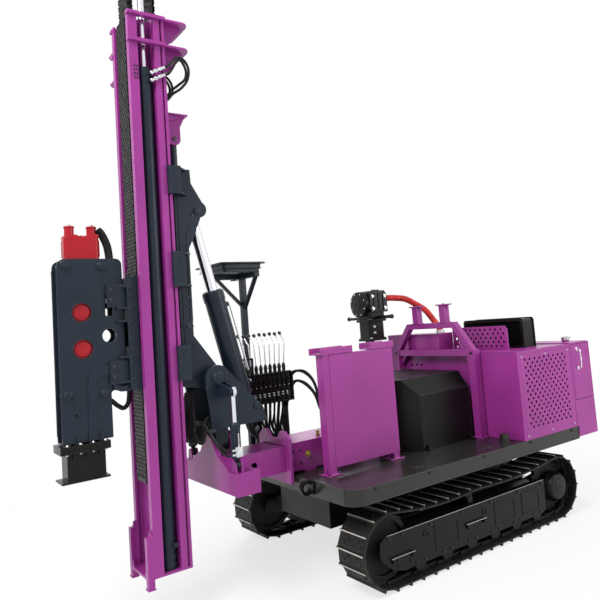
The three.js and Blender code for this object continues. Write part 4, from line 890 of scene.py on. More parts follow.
def make_intake_box():
    """Folds and bolts of the box that the red hose feeds."""
    x0, x1, y0, y1, z0, z1 = -0.9, -0.66, -0.85, 0.03, HOOD_TOP + 0.0003, 1.955
    trim = Piece("intake_box_folds", "purple", "chassis", bevel=0.0025)
    trim.prism("z", rounded(x0 - 0.003, x1 + 0.003, y0 - 0.003, y1 + 0.003, 0.012), z1 - 0.022,
               z1 + 0.0004, holes=[rounded(x0 + 0.006, x1 - 0.006, y0 + 0.006, y1 - 0.006, 0.008)])
    trim.prism("z", rounded(x0 - 0.018, x1 + 0.018, y0 - 0.018, y1 + 0.018, 0.012), z0, z0 + 0.004,
               holes=[rounded(x0 + 0.004, x1 - 0.004, y0 + 0.004, y1 - 0.004, 0.008)])
    trim.prism("x", rounded(y0 + 0.06, y1 - 0.06, z0 + 0.035, z1 - 0.045, 0.012), x1, x1 + 0.003)
    trim.done()
    screws = Piece("intake_box_bolts", "bolt", "chassis")
    for y in (y0 + 0.1, y0 + 0.32, y0 + 0.54, y1 - 0.12):
        screws.bolt((x1 + 0.011, y, z0 + 0.004), UP, 0.016)
    screws.done()


def make_side_door():
    """The rear box's side door: skin, handle and hinges."""
    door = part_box("side_door")
    x0, x1 = door[0].x - SHIFT.x, door[1].x - SHIFT.x
    z0, z1 = door[0].z, door[1].z
    y = HOOD_HALF
    skin = Piece("side_door_skin", "purple", "side_door", bevel=0.002)
    skin.prism("y", rounded(x0 + 0.012, x1 - 0.012, z0 + 0.012, z1 - 0.012, 0.016), y, y + 0.0015)
    skin.done()
    handle = Piece("side_door_handle", "chrome", "side_door", bevel=0.001)
    hx = x1 - 0.105
    handle.tube([(hx, y + 0.002, z1 - 0.055), (hx, y + 0.03, z1 - 0.06), (hx, y + 0.04, z1 - 0.085),
                 (hx, y + 0.04, z1 - 0.23), (hx, y + 0.03, z1 - 0.255), (hx, y + 0.002, z1 - 0.26)],
                0.0075, 14, 0.006)
    for z in (z1 - 0.055, z1 - 0.26):
        handle.lathe((hx, y, z), (0, 1, 0), [(0, 0.02), (0.004, 0.02), (0.007, 0.013)], 24)
    handle.lathe((hx - 0.06, y, z1 - 0.16), (0, 1, 0), [(0, 0.017), (0.008, 0.017), (0.01, 0.012),
                                                        (0.0105, 0.002)], 24)
    handle.done()
    hinges = Piece("side_door_hinges", "purple", "side_door", bevel=0.0015)
    for z in (z0 + 0.09, z1 - 0.11):
        hinges.cyl((x0 + 0.004, y + 0.004, z - 0.035), (x0 + 0.004, y + 0.004, z + 0.035), 0.007, 16)
        hinges.box(x0 + 0.004, x0 + 0.055, y + 0.001, y + 0.005, z - 0.03, z + 0.03)
    hinges.done()


def make_roof_screen():
    """The perforated screen on the roof, with its folded rim."""
    x0, x1, y0, y1, z0, z1 = -0.92, -0.902, 0.03, 0.82, HOOD_TOP + 0.0003, 2.0
    outline = arched(y0, y1, z0, z1, 0, 0.03, 0.03, 5)
    screen = Piece("roof_screen_perforated", "purple", "chassis", smooth=40, hides=["roof_screen"])
    screen.prism("x", outline, x1 - 0.004, x1, circle_rows(y0 + 0.06, y1 - 0.05, z0 + 0.045, z1 - 0.035,
                                                           10, 5, 0.015))
    screen.done()
    rim = Piece("roof_screen_folds", "purple", "chassis", bevel=0.0015)
    rim.box(x0, x1 - 0.004, y0, y0 + 0.004, z0, z1 - 0.03)
    rim.box(x0, x1 - 0.004, y1 - 0.004, y1, z0, z1 - 0.03)
    rim.box(x0, x1 - 0.004, y0 + 0.03, y1 - 0.03, z1 - 0.004, z1)
    rim.box(x0 - 0.03, x1 - 0.004, y0 + 0.01, y1 - 0.01, z0, z0 + 0.004)
    rim.done()


def make_cooler():
    """The oil cooler: shell, fins and backing in painted shade, and fan."""
    x0, x1, y0, y1, z0, z1 = -1.33, -1.13, 0.0, 0.86, HOOD_TOP + 0.0003, 2.07
    shell = Piece("oil_cooler_shell", "black", "chassis", bevel=0.002, hides=["oil_cooler"])
    outline = arched(y0, y1, z0, z1, 0, 0.035, 0.035)
    window = rounded(y0 + 0.035, y1 - 0.035, z0 + 0.03, z1 - 0.035, 0.02)
    shell.prism("x", outline, x1 - 0.01, x1, holes=[window])
    shell.prism("x", outline, x0, x0 + 0.01, holes=[ring((y0 + y1) / 2, (z0 + z1) / 2, 0.135, 40)])
    inner = arched(y0, y1, z0, z1, 0.012, 0.042, 0.03)
    hollow = arched(y0, y1, z0 + 0.008, z1, 0.02, 0.05, 0.022)
    shell.prism("x", inner, x0 + 0.009, x1 - 0.009, holes=[hollow])
    shell.done()
    # Painted shade: the fins and the sheet behind them are near-black, as shade inside the cooler.
    fins = Piece("oil_cooler_fins_in_painted_shade", "shadow", "chassis")
    for k in range(15):
        z = z0 + 0.045 + (z1 - z0 - 0.095) * k / 14
        fins.box(x1 - 0.05, x1 - 0.016, y0 + 0.024, y1 - 0.024, z, z + 0.006)
    for k in range(60):
        y = y0 + 0.03 + (y1 - y0 - 0.06) * k / 59
        fins.box(x1 - 0.046, x1 - 0.022, y, y + 0.003, z0 + 0.03, z1 - 0.04)
    fins.box(x1 - 0.062, x1 - 0.052, y0 + 0.02, y1 - 0.02, z0 + 0.01, z1 - 0.03)
    fins.done()
    fan = Piece("oil_cooler_fan", "black", "chassis", bevel=0.0015)
    cy, cz = (y0 + y1) / 2, (z0 + z1) / 2
    fan.pipe((x0 - 0.004, cy, cz), AHEAD, [(0, 0.15), (0.004, 0.134), (0.04, 0.131), (0.04, 0.136),
                                           (0.006, 0.14)], 48)
    fan.lathe((x0 + 0.012, cy, cz), AHEAD, [(0, 0.034), (0.006, 0.04), (0.04, 0.04)], 28)
    for k in range(8):
        a = 2 * math.pi * k / 8
        side = Vector((0, math.cos(a), math.sin(a)))
        cross = Vector(AHEAD).cross(side)
        p = Vector((x0 + 0.03, cy, cz))
        blade = ((-0.026, -0.012), (0.026, 0.01), (0.026, 0.013), (-0.026, -0.009))
        c = [p + side * r + cross * w + Vector((x, 0, 0)) for r in (0.036, 0.124) for w, x in blade]
        fan.shape(c, BAR_FACES)
    for k in range(4):
        fan.pipe((x0 - 0.006, cy, cz), AHEAD, [(0, 0.034 + 0.03 * k), (0.003, 0.034 + 0.03 * k),
                                               (0.003, 0.03 + 0.03 * k), (0, 0.03 + 0.03 * k)], 40)
    for a in (0, 45, 90, 135):
        d = Vector((0, math.cos(math.radians(a)), math.sin(math.radians(a)))) * 0.14
        p = Vector((x0 - 0.0025, cy, cz))
        fan.beam(p - d, p + d, 0.005, 0.003, up=AHEAD)
    for y in (y0 + 0.02, y1 - 0.02):
        for z in (z0 + 0.03, z1 - 0.045):
            fan.bolt((x1, y, z), AHEAD, 0.018)
            fan.bolt((x0, y, z), ASTERN, 0.018)
    fan.done()


def make_deck_details():
    """The deck's covers, rub rails, towing eyes and bolts."""
    plates = Piece("deck_details", "deck", "chassis", bevel=0.002)
    for x, y in ((0.62, 0.93), (0.62, -0.93), (-0.28, 0.93)):
        plates.lathe((x, y, FLOOR - 0.0003), UP, [(0, 0.062), (0.004, 0.062), (0.006, 0.056),
                                                  (0.006, 0.004)], 36)
    # Rounded rub rail along the deck's lower edge.
    plates.box(-1.57, 1.36, 1.1098, 1.114, 0.7335, 0.7475)
    plates.box(-1.57, 1.36, -1.114, -1.1098, 0.7335, 0.7475)
    plates.done()
    # Towing eye under the deck's front edge.
    eye = Piece("towing_eyes", "black", "chassis", bevel=0.002)
    for y in (0.52, -0.52):
        eye.pipe((1.535, y - 0.018, 0.815), (0, 1, 0), [(0, 0.064), (0.036, 0.064), (0.036, 0.036),
                                                        (0, 0.036)], 32)
        eye.box(1.478, 1.5, y - 0.05, y + 0.05, 0.757, 0.873)
    eye.done()
    screws = Piece("deck_bolts", "bolt_black", "chassis", "black_paint")
    for side in (1, -1):
        for x in (-1.45, -0.75, -0.05, 0.65, 1.25):
            screws.bolt((x, side * 1.1102, 0.84), (0, side, 0), 0.024)
        for x, y in ((0.62, 0.93), (-0.28, 0.93)):
            for k in range(4):
                a = math.pi * (0.25 + 0.5 * k)
                at = (x + 0.045 * math.cos(a), side * y + 0.045 * math.sin(a), FLOOR + 0.0055)
                if side > 0 or x > 0:
                    screws.bolt(at, UP, 0.012, False)
    screws.done()


def make_tank_details():
    """The tank's filler, seam weld, feet and bolts."""
    x0, x1, y0, y1, z1 = -0.54, 0.4, -0.54, 0.545, 1.56
    trim = Piece("fuel_tank_details", "black", "chassis", bevel=0.0025)
    trim.lathe((0.02, -0.35, z1 - 0.0005), UP, [(0, 0.062), (0.008, 0.062), (0.01, 0.05), (0.034, 0.05),
                                                (0.036, 0.058), (0.06, 0.058), (0.066, 0.05),
                                                (0.067, 0.004)], 40)
    # A seam weld where the end plate meets the shell.
    trim.tube([(x0 + 0.012, y0 + 0.02, z1 + 0.0005), (x0 + 0.012, y1 - 0.135, z1 + 0.0005),
               (x0 + 0.012, y1 + 0.0005, z1 - 0.16), (x0 + 0.012, y1 + 0.0005, FLOOR + 0.02)], 0.004, 8,
              0)
    for x in (x0 + 0.05, x1 - 0.28):
        trim.box(x - 0.03, x + 0.03, y1 - 0.002, y1 + 0.05, FLOOR, FLOOR + 0.014)
        trim.prism("x", [(y1 - 0.001, FLOOR + 0.012), (y1 + 0.045, FLOOR + 0.012),
                         (y1 - 0.001, FLOOR + 0.07)], x - 0.004, x + 0.004)
    trim.done()
    screws = Piece("fuel_tank_bolts", "bolt", "chassis", "black_paint")
    for x in (x0 + 0.05, x1 - 0.28):
        screws.bolt((x, y1 + 0.03, FLOOR + 0.014), UP, 0.022)
    screws.done()


def make_guard_details():
    """The guard panel's face, bars, gussets, posts' caps and bolts."""
    trim = Piece("guard_panel_details", "purple", "chassis", bevel=0.0025)
    mid = 0.515
    # Stiffening folds beside the posts and bars on the back.
    face = rounded(0.505, 1.24, 0.93, 1.905, 0.012)
    trim.prism("y", face, 0.5692, 0.5745)
    trim.box(0.509, 1.236, 0.54, 0.5694, 1.893, 1.905)
    trim.box(1.226, 1.236, 0.54, 0.5694, 0.935, 1.9)
    for z in (1.25, 1.6):
        trim.box(0.585, 1.235, mid - 0.02, mid + 0.018, z - 0.02, z + 0.02)
    for x in (1.271, 0.544):
        for dx in (-1, 1):
            trim.prism("y", [(x + dx * 0.034, FLOOR + 0.013), (x + dx * 0.066, FLOOR + 0.013),
                             (x + dx * 0.034, FLOOR + 0.085)], mid - 0.004, mid + 0.004)
    # Rounded ends of the two arm rests.
    for x in (1.331, 0.759, 0.976, 0.484):
        trim.cyl((x, 0.4065, 1.912), (x, 0.4065, 1.969), 0.0075, 16)
    trim.done()
    screws = Piece("guard_panel_bolts", "bolt", "chassis")
    for x in (1.271, 0.544):
        for dx in (-0.055, 0.055):
            for y in (0.456, 0.578):
                screws.bolt((x + dx, y, FLOOR + 0.0137), UP, 0.024)
    for x in (1.29, 1.06, 0.72, 0.52):
        screws.bolt((x, 0.48, 1.9255), UP, 0.022)
    screws.done()


def make_cradle_details():
    """The mast cradle's gussets, stud tops and bolts."""
    x = -0.6
    trim = Piece("cradle_details", "purple", "chassis", bevel=0.003)
    for s in (1, -1):
        y = s * 0.6
        # Gussets in the corners between the posts, the sloping bars and the cross bar.
        trim.prism("x", [(y - s * 0.044, 1.715), (y - s * 0.044, 1.6), (y - s * 0.15, 1.715)],
                   x - 0.005, x + 0.005)
        trim.prism("x", [(y - s * 0.1, 1.779), (y - s * 0.19, 1.779), (y - s * 0.19, 1.895)], x - 0.005,
                   x + 0.005)
        for dx in (-1, 1):
            trim.prism("y", [(x + dx * 0.0445, FLOOR + 0.013), (x + dx * 0.054, FLOOR + 0.013),
                             (x + dx * 0.0445, FLOOR + 0.1)], y - 0.004, y + 0.004)
        # Stud tops with rounded ends.
        trim.prism("z", rounded(x - 0.052, x + 0.052, s * 0.22 - 0.095, s * 0.22 + 0.095, 0.03), 2.2718,
                   2.2855)
        for t in (-1, 1):
            trim.prism("x", [(s * 0.22 + t * 0.041, 2.271), (s * 0.22 + t * 0.06, 2.271),
                             (s * 0.22 + t * 0.041, 2.215)], x - 0.004, x + 0.004)
        trim.box(x - 0.047, x + 0.047, s * 0.22 - 0.055, s * 0.22 + 0.055, 2.078, 2.088)
    trim.done()
    screws = Piece("cradle_bolts", "bolt", "chassis")
    for s in (1, -1):
        for dx in (-0.042, 0.042):
            for dy in (-0.058, 0.058):
                screws.bolt((x + dx, s * 0.6 + dy, FLOOR + 0.0137), UP, 0.019)
        screws.bolt((x + 0.0455, s * 0.6, 1.745), AHEAD, 0.026)
        screws.bolt((x, s * 0.22, 2.2848), UP, 0.02)
    screws.done()


def make_rotary_head():
    """The rotary head on its stand, its bolts, and the red hose fittings."""
    cx, cy = -0.19, -0.57
    body = Piece("rotary_head_housing", "black", "chassis", bevel=0.004, hides=["rotary_head"])
    # Base on its pedestal, column and gearbox.
    body.box(cx - 0.12, cx + 0.15, cy - 0.16, cy + 0.12, 1.566, 1.581)
    body.box(cx - 0.12, cx + 0.15, cy - 0.16, cy - 0.145, FLOOR, 1.567)
    body.box(cx - 0.12, cx + 0.15, cy - 0.16, cy + 0.025, FLOOR, FLOOR + 0.014)
    body.box(cx - 0.03, cx + 0.05, cy - 0.08, cy, 1.58, 1.931)
    body.prism("z", rounded(cx - 0.125, cx + 0.125, cy - 0.13, cy + 0.13, 0.035), 1.93, 1.958)
    body.prism("z", rounded(cx - 0.108, cx + 0.112, cy - 0.115, cy + 0.115, 0.045), 1.957, 2.15)
    body.prism("z", rounded(cx - 0.13, cx + 0.13, cy - 0.135, cy + 0.135, 0.03), 2.149, 2.178)
    body.prism("z", rounded(cx - 0.118, cx + 0.118, cy - 0.128, cy + 0.128, 0.04), 2.177, 2.262)
    top = [(cx - 0.14, 2.255), (cx + 0.1, 2.255), (cx + 0.115, 2.29), (cx + 0.115, 2.455),
           (cx + 0.085, 2.505), (cx - 0.11, 2.505), (cx - 0.14, 2.455)]
    body.prism("y", top, cy - 0.15, cy + 0.15)
    body.prism("y", [(cx - 0.09, 2.504), (cx + 0.05, 2.504), (cx + 0.03, 2.5185), (cx - 0.07, 2.5185)],
               cy - 0.09, cy + 0.09)
    # Swivel drum on the front face, with its rim and cover.
    body.lathe((cx + 0.105, cy - 0.01, 2.355), AHEAD, [(0, 0.15), (0.02, 0.15), (0.024, 0.138),
                                                       (0.046, 0.138), (0.05, 0.15), (0.062, 0.15),
                                                       (0.066, 0.142), (0.072, 0.1), (0.074, 0.06),
                                                       (0.08, 0.056), (0.08, 0.004)], 48)
    # Cast ribs on the side and the arms.
    for k in range(4):
        y = cy - 0.09 + 0.06 * k
        body.box(cx - 0.15, cx - 0.138, y - 0.006, y + 0.006, 2.275, 2.475)
    for k in range(3):
        x = cx - 0.08 + 0.07 * k
        body.box(x - 0.006, x + 0.006, cy + 0.148, cy + 0.16, 2.275, 2.475)
    body.cyl((cx, cy - 0.42, 2.195), (cx, cy + 0.37, 2.195), 0.019, 20)
    for s, e in ((-1, -0.42), (1, 0.37)):
        body.cyl((cx, cy + e, 2.195), (cx, cy + e + s * 0.014, 2.195), 0.026, 20)
    body.lathe((cx - 0.128, cy + 0.05, 2.405), ASTERN, [(0, 0.058), (0.012, 0.058), (0.014, 0.048)], 32)
    body.done()
    screws = Piece("rotary_head_bolts", "zinc", "chassis")
    for x, z in ((0.075, 2.44), (0.075, 2.3), (-0.105, 2.44), (-0.105, 2.3)):
        screws.bolt((cx + x, cy + 0.15, z), (0, 1, 0), 0.03)
        screws.bolt((cx + x, cy - 0.15, z), (0, -1, 0), 0.03)
    for k in range(8):
        a = 2 * math.pi * (k + 0.5) / 8
        screws.bolt((cx + 0.168, cy - 0.01 + 0.126 * math.cos(a), 2.355 + 0.126 * math.sin(a)), AHEAD,
                    0.018, False)
    for dx in (-0.1, 0.1):
        for dy in (-0.105, 0.105):
            screws.bolt((cx + dx, cy + dy, 2.178), UP, 0.024)
            screws.bolt((cx + dx, cy + dy, 1.958), UP, 0.026)
    for z in (2.02, 2.09):
        screws.lathe((cx + 0.06, cy + 0.114, z), (0, 1, 0),
                     [(0, 0.014), (0.012, 0.014), (0.014, 0.009), (0.026, 0.009)], 12)
    screws.done()
    joint = Piece("red_hose_fitting", "zinc", "chassis", bevel=0.001)
    joint.lathe((cx - 0.139, cy + 0.05, 2.405), ASTERN, [(0, 0.052), (0.016, 0.052), (0.018, 0.046),
                                                         (0.04, 0.046), (0.042, 0.04)], 28)
    joint.lathe((-0.85, -0.12, 1.9552), UP, [(0, 0.062), (0.006, 0.062), (0.008, 0.048), (0.036, 0.046),
                                             (0.038, 0.039)], 28)
    joint.done()


for sign, label in ((1, "hood_left_grille"), (-1, "hood_right_grille")):
    make_side_grille(sign, label)
make_hood_details()
make_side_door()
make_intake_box()
make_roof_screen()
make_cooler()
make_deck_details()
make_tank_details()
make_guard_details()
make_cradle_details()
make_rotary_head()
# --------------------------------------------------------------- mast, hammer
FLANGE_FRONT, RAIL_BACK, MAST_TOP, MAST_LOW = 2.535, 2.675, 4.905, 0.372


def link_outline(a, b, half, steps=3):
    """A chain plate's outline between two pin centres: rounded ends and a waist."""
    (ax, ay), (bx, by) = a, b
    turn = math.degrees(math.atan2(by - ay, bx - ax))
    ux, uy = math.cos(math.radians(turn)), math.sin(math.radians(turn))
    mx, my = (ax + bx) / 2, (ay + by) / 2
    waist = half * 0.74
    return (arc(bx, by, half, turn - 80, turn + 80,
                steps) + [(mx - uy * waist, my + ux * waist)] + arc(ax, ay, half, turn + 100,
            turn + 260, steps) + [(mx + uy * waist, my - ux * waist)])


def leaf_chain(piece, line, half_width, plate_half, leaves):
    """Leaf chain along a line of pin centres (x, z): plates side by side, every second set one pin on."""
    pitch = 2 * half_width / leaves
    for k, (a, b) in enumerate(zip(line, line[1:])):
        for leaf in range(leaves):
            if (leaf + k) % 2:
                continue
            y = -half_width + pitch * leaf
            piece.prism("y", link_outline(a, b, plate_half), y + 0.0004, y + pitch - 0.0004)
    for x, z in line:
        piece.cyl((x, -half_width - 0.004, z), (x, half_width + 0.004, z), plate_half * 0.42, 8)


def make_chain():
    """A double leaf chain: the front layer lies still, the rear one moves with the crosshead."""
    pitch = 0.0305
    groove = Piece("mast_leaf_chain", "chain", "mast", smooth=40, hides=["groove_chain"])
    count = int((MAST_TOP - 1.1) / pitch)
    leaf_chain(groove, [(2.7318, 1.09 + pitch * k) for k in range(count + 1)], 0.112, 0.0128, 11)
    leaf_chain(groove, [(2.704, 1.09 + pitch * k) for k in range(78)], 0.112, 0.0118, 3)
    # The anchor block that holds the lower end.
    groove.prism("y", [(2.6905, 1.05), (2.742, 1.05), (2.742, 1.078), (2.725, 1.1), (2.6905, 1.1)],
                 -0.1, 0.1)
    groove.done()

    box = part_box("chain_sheave")
    sx, sz = (box[0].x + box[1].x) / 2 - SHIFT.x, (box[0].z + box[1].z) / 2
    moving = Piece("sheave_leaf_chain", "chain", "crosshead", smooth=40, hides=["sheave_chain"])
    for radius, leaves in ((0.0785, 3), (0.106, 11)):
        turns = int(math.pi * radius / pitch)
        over = [(sx + radius * math.cos(math.pi * k / turns),
                 sz + radius * math.sin(math.pi * k / turns)) for k in range(turns + 1)]
        front = [(over[0][0], sz - pitch * k) for k in range(25, 0, -1)]
        behind = [(over[-1][0] + (2.4835 - over[-1][0]) * min(1, k / 22),
                   sz - pitch * k) for k in range(1, 24)]
        leaf_chain(moving, front + over + behind, 0.112, 0.0125, leaves)
    leaf_chain(moving, [(2.704 + (sx + 0.0785 - 2.704) * max(0, 1 - k / 8),
                         4.905 - pitch * k) for k in range(26, -1, -1)], 0.108, 0.0118, 3)
    leaf_chain(moving, [(2.4835, 4.965 - pitch * k) for k in range(28)], 0.112, 0.0125, 3)
    moving.done()

    sheave = Piece("sheave_rims", "black", "crosshead", "track_steel", bevel=0.0015)
    for s in (-1, 1):
        sheave.pipe((sx, s * 0.1165, sz), (0, s, 0), [(0, 0.112), (0.0035, 0.112), (0.0035, 0.06),
                                                      (0, 0.06)], 48)
        sheave.lathe((sx, s * 0.1475, sz), (0, s, 0), [(0, 0.034), (0.006, 0.034), (0.01, 0.028),
                                                       (0.0105, 0.004)], 28)
        for k in range(6):
            a = math.pi * k / 3
            sheave.bolt((sx + 0.044 * math.cos(a), s * 0.147, sz + 0.044 * math.sin(a)), (0, s, 0),
                        0.014, False)
    sheave.done()


def make_mast_details():
    """Welds, foot, head plates, ribs and bolts of the mast."""
    trim = Piece("mast_details", "purple", "mast", bevel=0.002)
    for s in (1, -1):
        # Weld beads down the inner corners of the section.
        for x, y in ((FLANGE_FRONT + 0.001, 0.0665), (RAIL_BACK - 0.001, 0.0665)):
            trim.tube([(x, s * y, MAST_LOW + 0.01), (x, s * y, MAST_TOP - 0.28)], 0.0055, 8, 0)
        # Foot: gussets between the plate and the legs, and a shoe under each leg.
        trim.prism("x", [(s * 0.214, 0.669), (s * 0.166, 0.669), (s * 0.19, 0.715)], 2.7502, 2.77)
        trim.prism("y", rounded(2.744, 2.806, 0.279, 0.291, 0.005), *span(s, 0.158, 0.222))
        trim.prism("x", [(s * 0.165, 0.371), (s * 0.12, 0.371), (s * 0.165, 0.43)], 2.786, 2.796)
        # Stiffening lips of the two head plates, and the bands' lower edges.
        for z in (4.66, 4.89):
            trim.box(2.44, 2.756, *span(s, 0.2395, 0.244), z - 0.024, z + 0.004)
            trim.tube([(2.43, s * 0.117, z - 0.016), (2.26, s * 0.117, z - 0.016)], 0.004, 8, 0)
    for z in (4.66, 4.89):
        # A turned-up edge round the far end of each head plate.
        outline = [(2.42, -0.2165)] + [(x, y) for x, y in arc(2.28, -0.155, 0.0615, 270, 180, 6)] \
            + [(x, y) for x, y in arc(2.28, 0.155, 0.0615, 180, 90, 6)] + [(2.42, 0.2165)]
        inner = [(2.42, 0.211)] + [(x, y) for x, y in arc(2.28, 0.155, 0.056, 90, 180, 6)] \
            + [(x, y) for x, y in arc(2.28, -0.155, 0.056, 180, 270, 6)] + [(2.42, -0.211)]
        trim.prism("z", outline + inner, z - 0.017, z + 0.0025)
    # Ribs under the lift bracket's shelf.
    for y in (-0.07, 0.07):
        trim.prism("y", [(2.444, 4.093), (2.25, 4.093), (2.444, 4.02)], y - 0.006, y + 0.006)
    trim.done()

    screws = Piece("mast_bolts", "bolt", "mast")
    for s in (1, -1):
        # Pairs of screws that hold the hoist cylinders' steady plates.
        for z in (4.428, 4.395, 4.36, 4.327):
            screws.bolt((2.676 + 0.012, s * 0.2152, z), (0, s, 0), 0.016, False)
            screws.bolt((2.676 + 0.034, s * 0.2152, z), (0, s, 0), 0.016, False)
        for x in (2.52, 2.62, 2.72):
            screws.bolt((x, s * 0.13, 0.3557), DOWN, 0.022)
    for z in (4.66, 4.89):
        for x, y in ((2.3, -0.12), (2.3, 0.12), (2.37, -0.15), (2.37, 0.15), (2.36, 0.0)):
            screws.lathe((x, y, z + 0.0002), UP, [(0, 0.009), (0.0025, 0.009), (0.004, 0.006)], 14)
    # Lift bracket pin with its keeper plate.
    for s in (1, -1):
        screws.lathe((2.335, s * 0.0605, 3.89), (0, s, 0),
                     [(0, 0.019), (0.003, 0.019), (0.0045, 0.015), (0.005, 0.003)], 24)
        screws.bolt((2.395, s * 0.0525, 3.915), (0, s, 0), 0.018)
    screws.done()


def make_hoist_details():
    """Glands, ports, fittings and hoses of the two hoist cylinders."""
    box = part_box("left_hoist_cylinder")
    cx, top = (box[0].x + box[1].x) / 2 - SHIFT.x, box[1].z
    for s, name in ((1, "left"), (-1, "right")):
        y = s * 0.135
        gland = Piece(name + "_hoist_gland", "blue", "mast", bevel=0.0015)
        gland.pipe((cx, y, top - 0.07), UP, [(0, 0.0585), (0.004, 0.0605), (0.062, 0.0605),
                                             (0.072, 0.056), (0.086, 0.048), (0.086, 0.0282),
                                             (0, 0.0282)], 40)
        # Ports, two near the gland and one near the foot, and the rings over the foot's weld.
        for z in (top - 0.045, top - 0.11, 0.56):
            gland.cyl((cx - 0.02, y + s * 0.03, z), (cx - 0.034, y + s * 0.082, z), 0.018, 20)
        for z in (0.4, 0.46):
            gland.pipe((cx, y, z), UP, [(0, 0.0555), (0, 0.0605), (0.02, 0.0605), (0.02, 0.0555)], 36)
        gland.done()
        bits = Piece(name + "_hoist_fittings", "zinc", "mast", bevel=0.001)
        for k, z in enumerate((top - 0.045, top - 0.11)):
            start = Vector((cx - 0.034, y + s * 0.088, z))
            bits.ball(start, 0.017, 14)
            d = Vector((-0.86, s * 0.06, 0.5)).normalized()
            for a, b, r, sides in ((0.0, 0.03, 0.013, 20), (0.026, 0.046, 0.018, 6),
                                   (0.046, 0.072, 0.012, 20), (0.07, 0.092, 0.0165, 6),
                                   (0.092, 0.125, 0.014, 20)):
                bits.lathe(start + d * a, d, [(0, r), (b - a, r)], sides)
        bits.done()
        for k, z in enumerate((top - 0.045, top - 0.11)):
            d = Vector((-0.86, s * 0.06, 0.5)).normalized()
            p = Vector((cx - 0.034, y + s * 0.088, z)) + d * 0.124
            out = 0.024 * k
            hose(f"{name}_hoist_hose_{k + 1}", "hose", "mast",
                 [p, p + d * 0.05, (2.355 - out * 0.5, s * 0.222, top + 0.125 - out),
                  (2.285 + out * 0.5, s * 0.21, top + 0.128 - out),
                  (2.235 + out, s * 0.198, top + 0.06 - out), (2.24 + out, s * 0.18, top - 0.035),
                  (2.29 + out, s * 0.15, top - 0.11 + out),
                  (2.36 + out * 0.5, s * 0.11, top - 0.165 + out),
                  (2.412, s * 0.075, top - 0.235 + out * 0.4), (2.421, s * (0.06 - out), top - 0.36)],
                 0.0115)
    clamp = Piece("hoist_line_clamp", "black", "mast", bevel=0.0015)
    clamp.box(2.4, 2.4446, -0.085, 0.085, top - 0.43, top - 0.352)
    clamp.done()


def make_crosshead_details():
    """The crosshead's plate, nuts and rod collars."""
    bar = Piece("crosshead_plate", "blue", "crosshead", bevel=0.003)
    bar.prism("z", rounded(2.527, 2.668, -0.188, 0.188, 0.018), 5.4955, 5.5005,
              holes=[ring(2.605, s * 0.135, 0.029, 24) for s in (1, -1)])
    for s in (1, -1):
        bar.prism("z", rounded(2.53, 2.665, *span(s, 0.156, 0.186), 0.008), 5.586, 5.5925)
    bar.done()
    nuts = Piece("crosshead_nuts", "zinc", "crosshead")
    for s in (1, -1):
        for x in (2.555, 2.64):
            nuts.bolt((x, s * 0.171, 5.5925), UP, 0.022)
        nuts.pipe((2.605, s * 0.135, 5.4955), DOWN, [(0, 0.0275), (0, 0.038), (0.03, 0.038),
                                                     (0.034, 0.0275)], 32)
    nuts.done()


def make_guide_details():
    """The mast support's guide blocks, arms, keepers and lift cylinder gland."""
    trim = Piece("guide_blocks", "blue", "mast_support", bevel=0.003)
    screws = Piece("guide_bolts", "bolt", "mast_support")
    for low, high in ((1.822, 2.105), (2.584, 2.877), (3.361, 3.6)):
        for s in (1, -1):
            y = s * 0.25
            trim.box(2.384, 2.48, *sorted((y - s * 0.001, y + s * 0.006)), low + 0.008, high - 0.008)
            for z in (low + 0.012, high - 0.012):
                trim.box(2.3795, 2.4837, *sorted((s * 0.219, y + s * 0.009)), z - 0.011, z + 0.011)
                # Arm from the block in to the side plate.
                trim.prism("z", [(2.38, s * 0.24), (2.402, s * 0.24), (2.402, s * 0.14),
                                 (2.29, s * 0.14), (2.3, s * 0.168)], z - 0.007, z + 0.007)
            for k in range(4):
                z = low + 0.045 + (high - low - 0.09) * k / 3
                screws.bolt((2.38, y - s * 0.012, z), ASTERN, 0.017)
            for z in (low + 0.06, high - 0.06):
                trim.bolt((2.432, y + s * 0.006, z), (0, s, 0), 0.018, False)
    # Weld beads and stiffeners of the side plates, and the pins' keepers.
    for s in (1, -1):
        y = s * 0.145
        trim.tube([(2.377, y, 1.79), (2.377, y, 3.585)], 0.0055, 8, 0)
        trim.lathe((2.21, s * 0.1548, 3.24), (0, s, 0), [(0, 0.03), (0.004, 0.03), (0.006, 0.025),
                                                         (0.0065, 0.004)], 32)
        trim.lathe((2.345, y - s * 0.001, 2.256), (0, s, 0), [(0, 0.05), (0.006, 0.05), (0.009, 0.044)],
                   6)
        trim.prism("y", [(2.2995, 2.3), (2.322, 2.3), (2.322, 3.02), (2.276, 3.12), (2.262, 3.105),
                         (2.2995, 3.0)], *sorted((y - s * 0.001, y + s * 0.006)))
        screws.bolt((2.255, y + s * 0.001, 3.205), (0, s, 0), 0.02)
        screws.bolt((2.345, y + s * 0.008, 2.256), (0, s, 0), 0.03)
        for z in (2.42, 2.5):
            screws.bolt((2.335, y + s * 0.001, z), (0, s, 0), 0.018)
    trim.box(2.4045, 2.4065, -0.117, 0.117, 2.25, 3.598)
    trim.done()
    screws.done()
    lift = Piece("lift_cylinder_gland", "black", "mast_support", bevel=0.0015)
    lift.pipe((2.335, 0, 3.545), UP, [(0, 0.0425), (0.004, 0.0445), (0.05, 0.0445), (0.06, 0.043),
                                      (0.072, 0.041), (0.072, 0.0352), (0, 0.0352)], 36)
    lift.cyl((2.335, -0.035, 2.32), (2.335, -0.075, 2.32), 0.016, 20)
    lift.cyl((2.335, -0.035, 3.52), (2.335, -0.075, 3.52), 0.016, 20)
    lift.done()
    line = Piece("lift_cylinder_pipes", "zinc", "mast_support")
    line.tube([(2.335, -0.074, 3.52), (2.335, -0.092, 3.49), (2.335, -0.096, 3.38),
               (2.335, -0.096, 2.9), (2.335, -0.096, 2.2), (2.335, -0.096, 1.98)], 0.008, 12, 0.02)
    line.done()


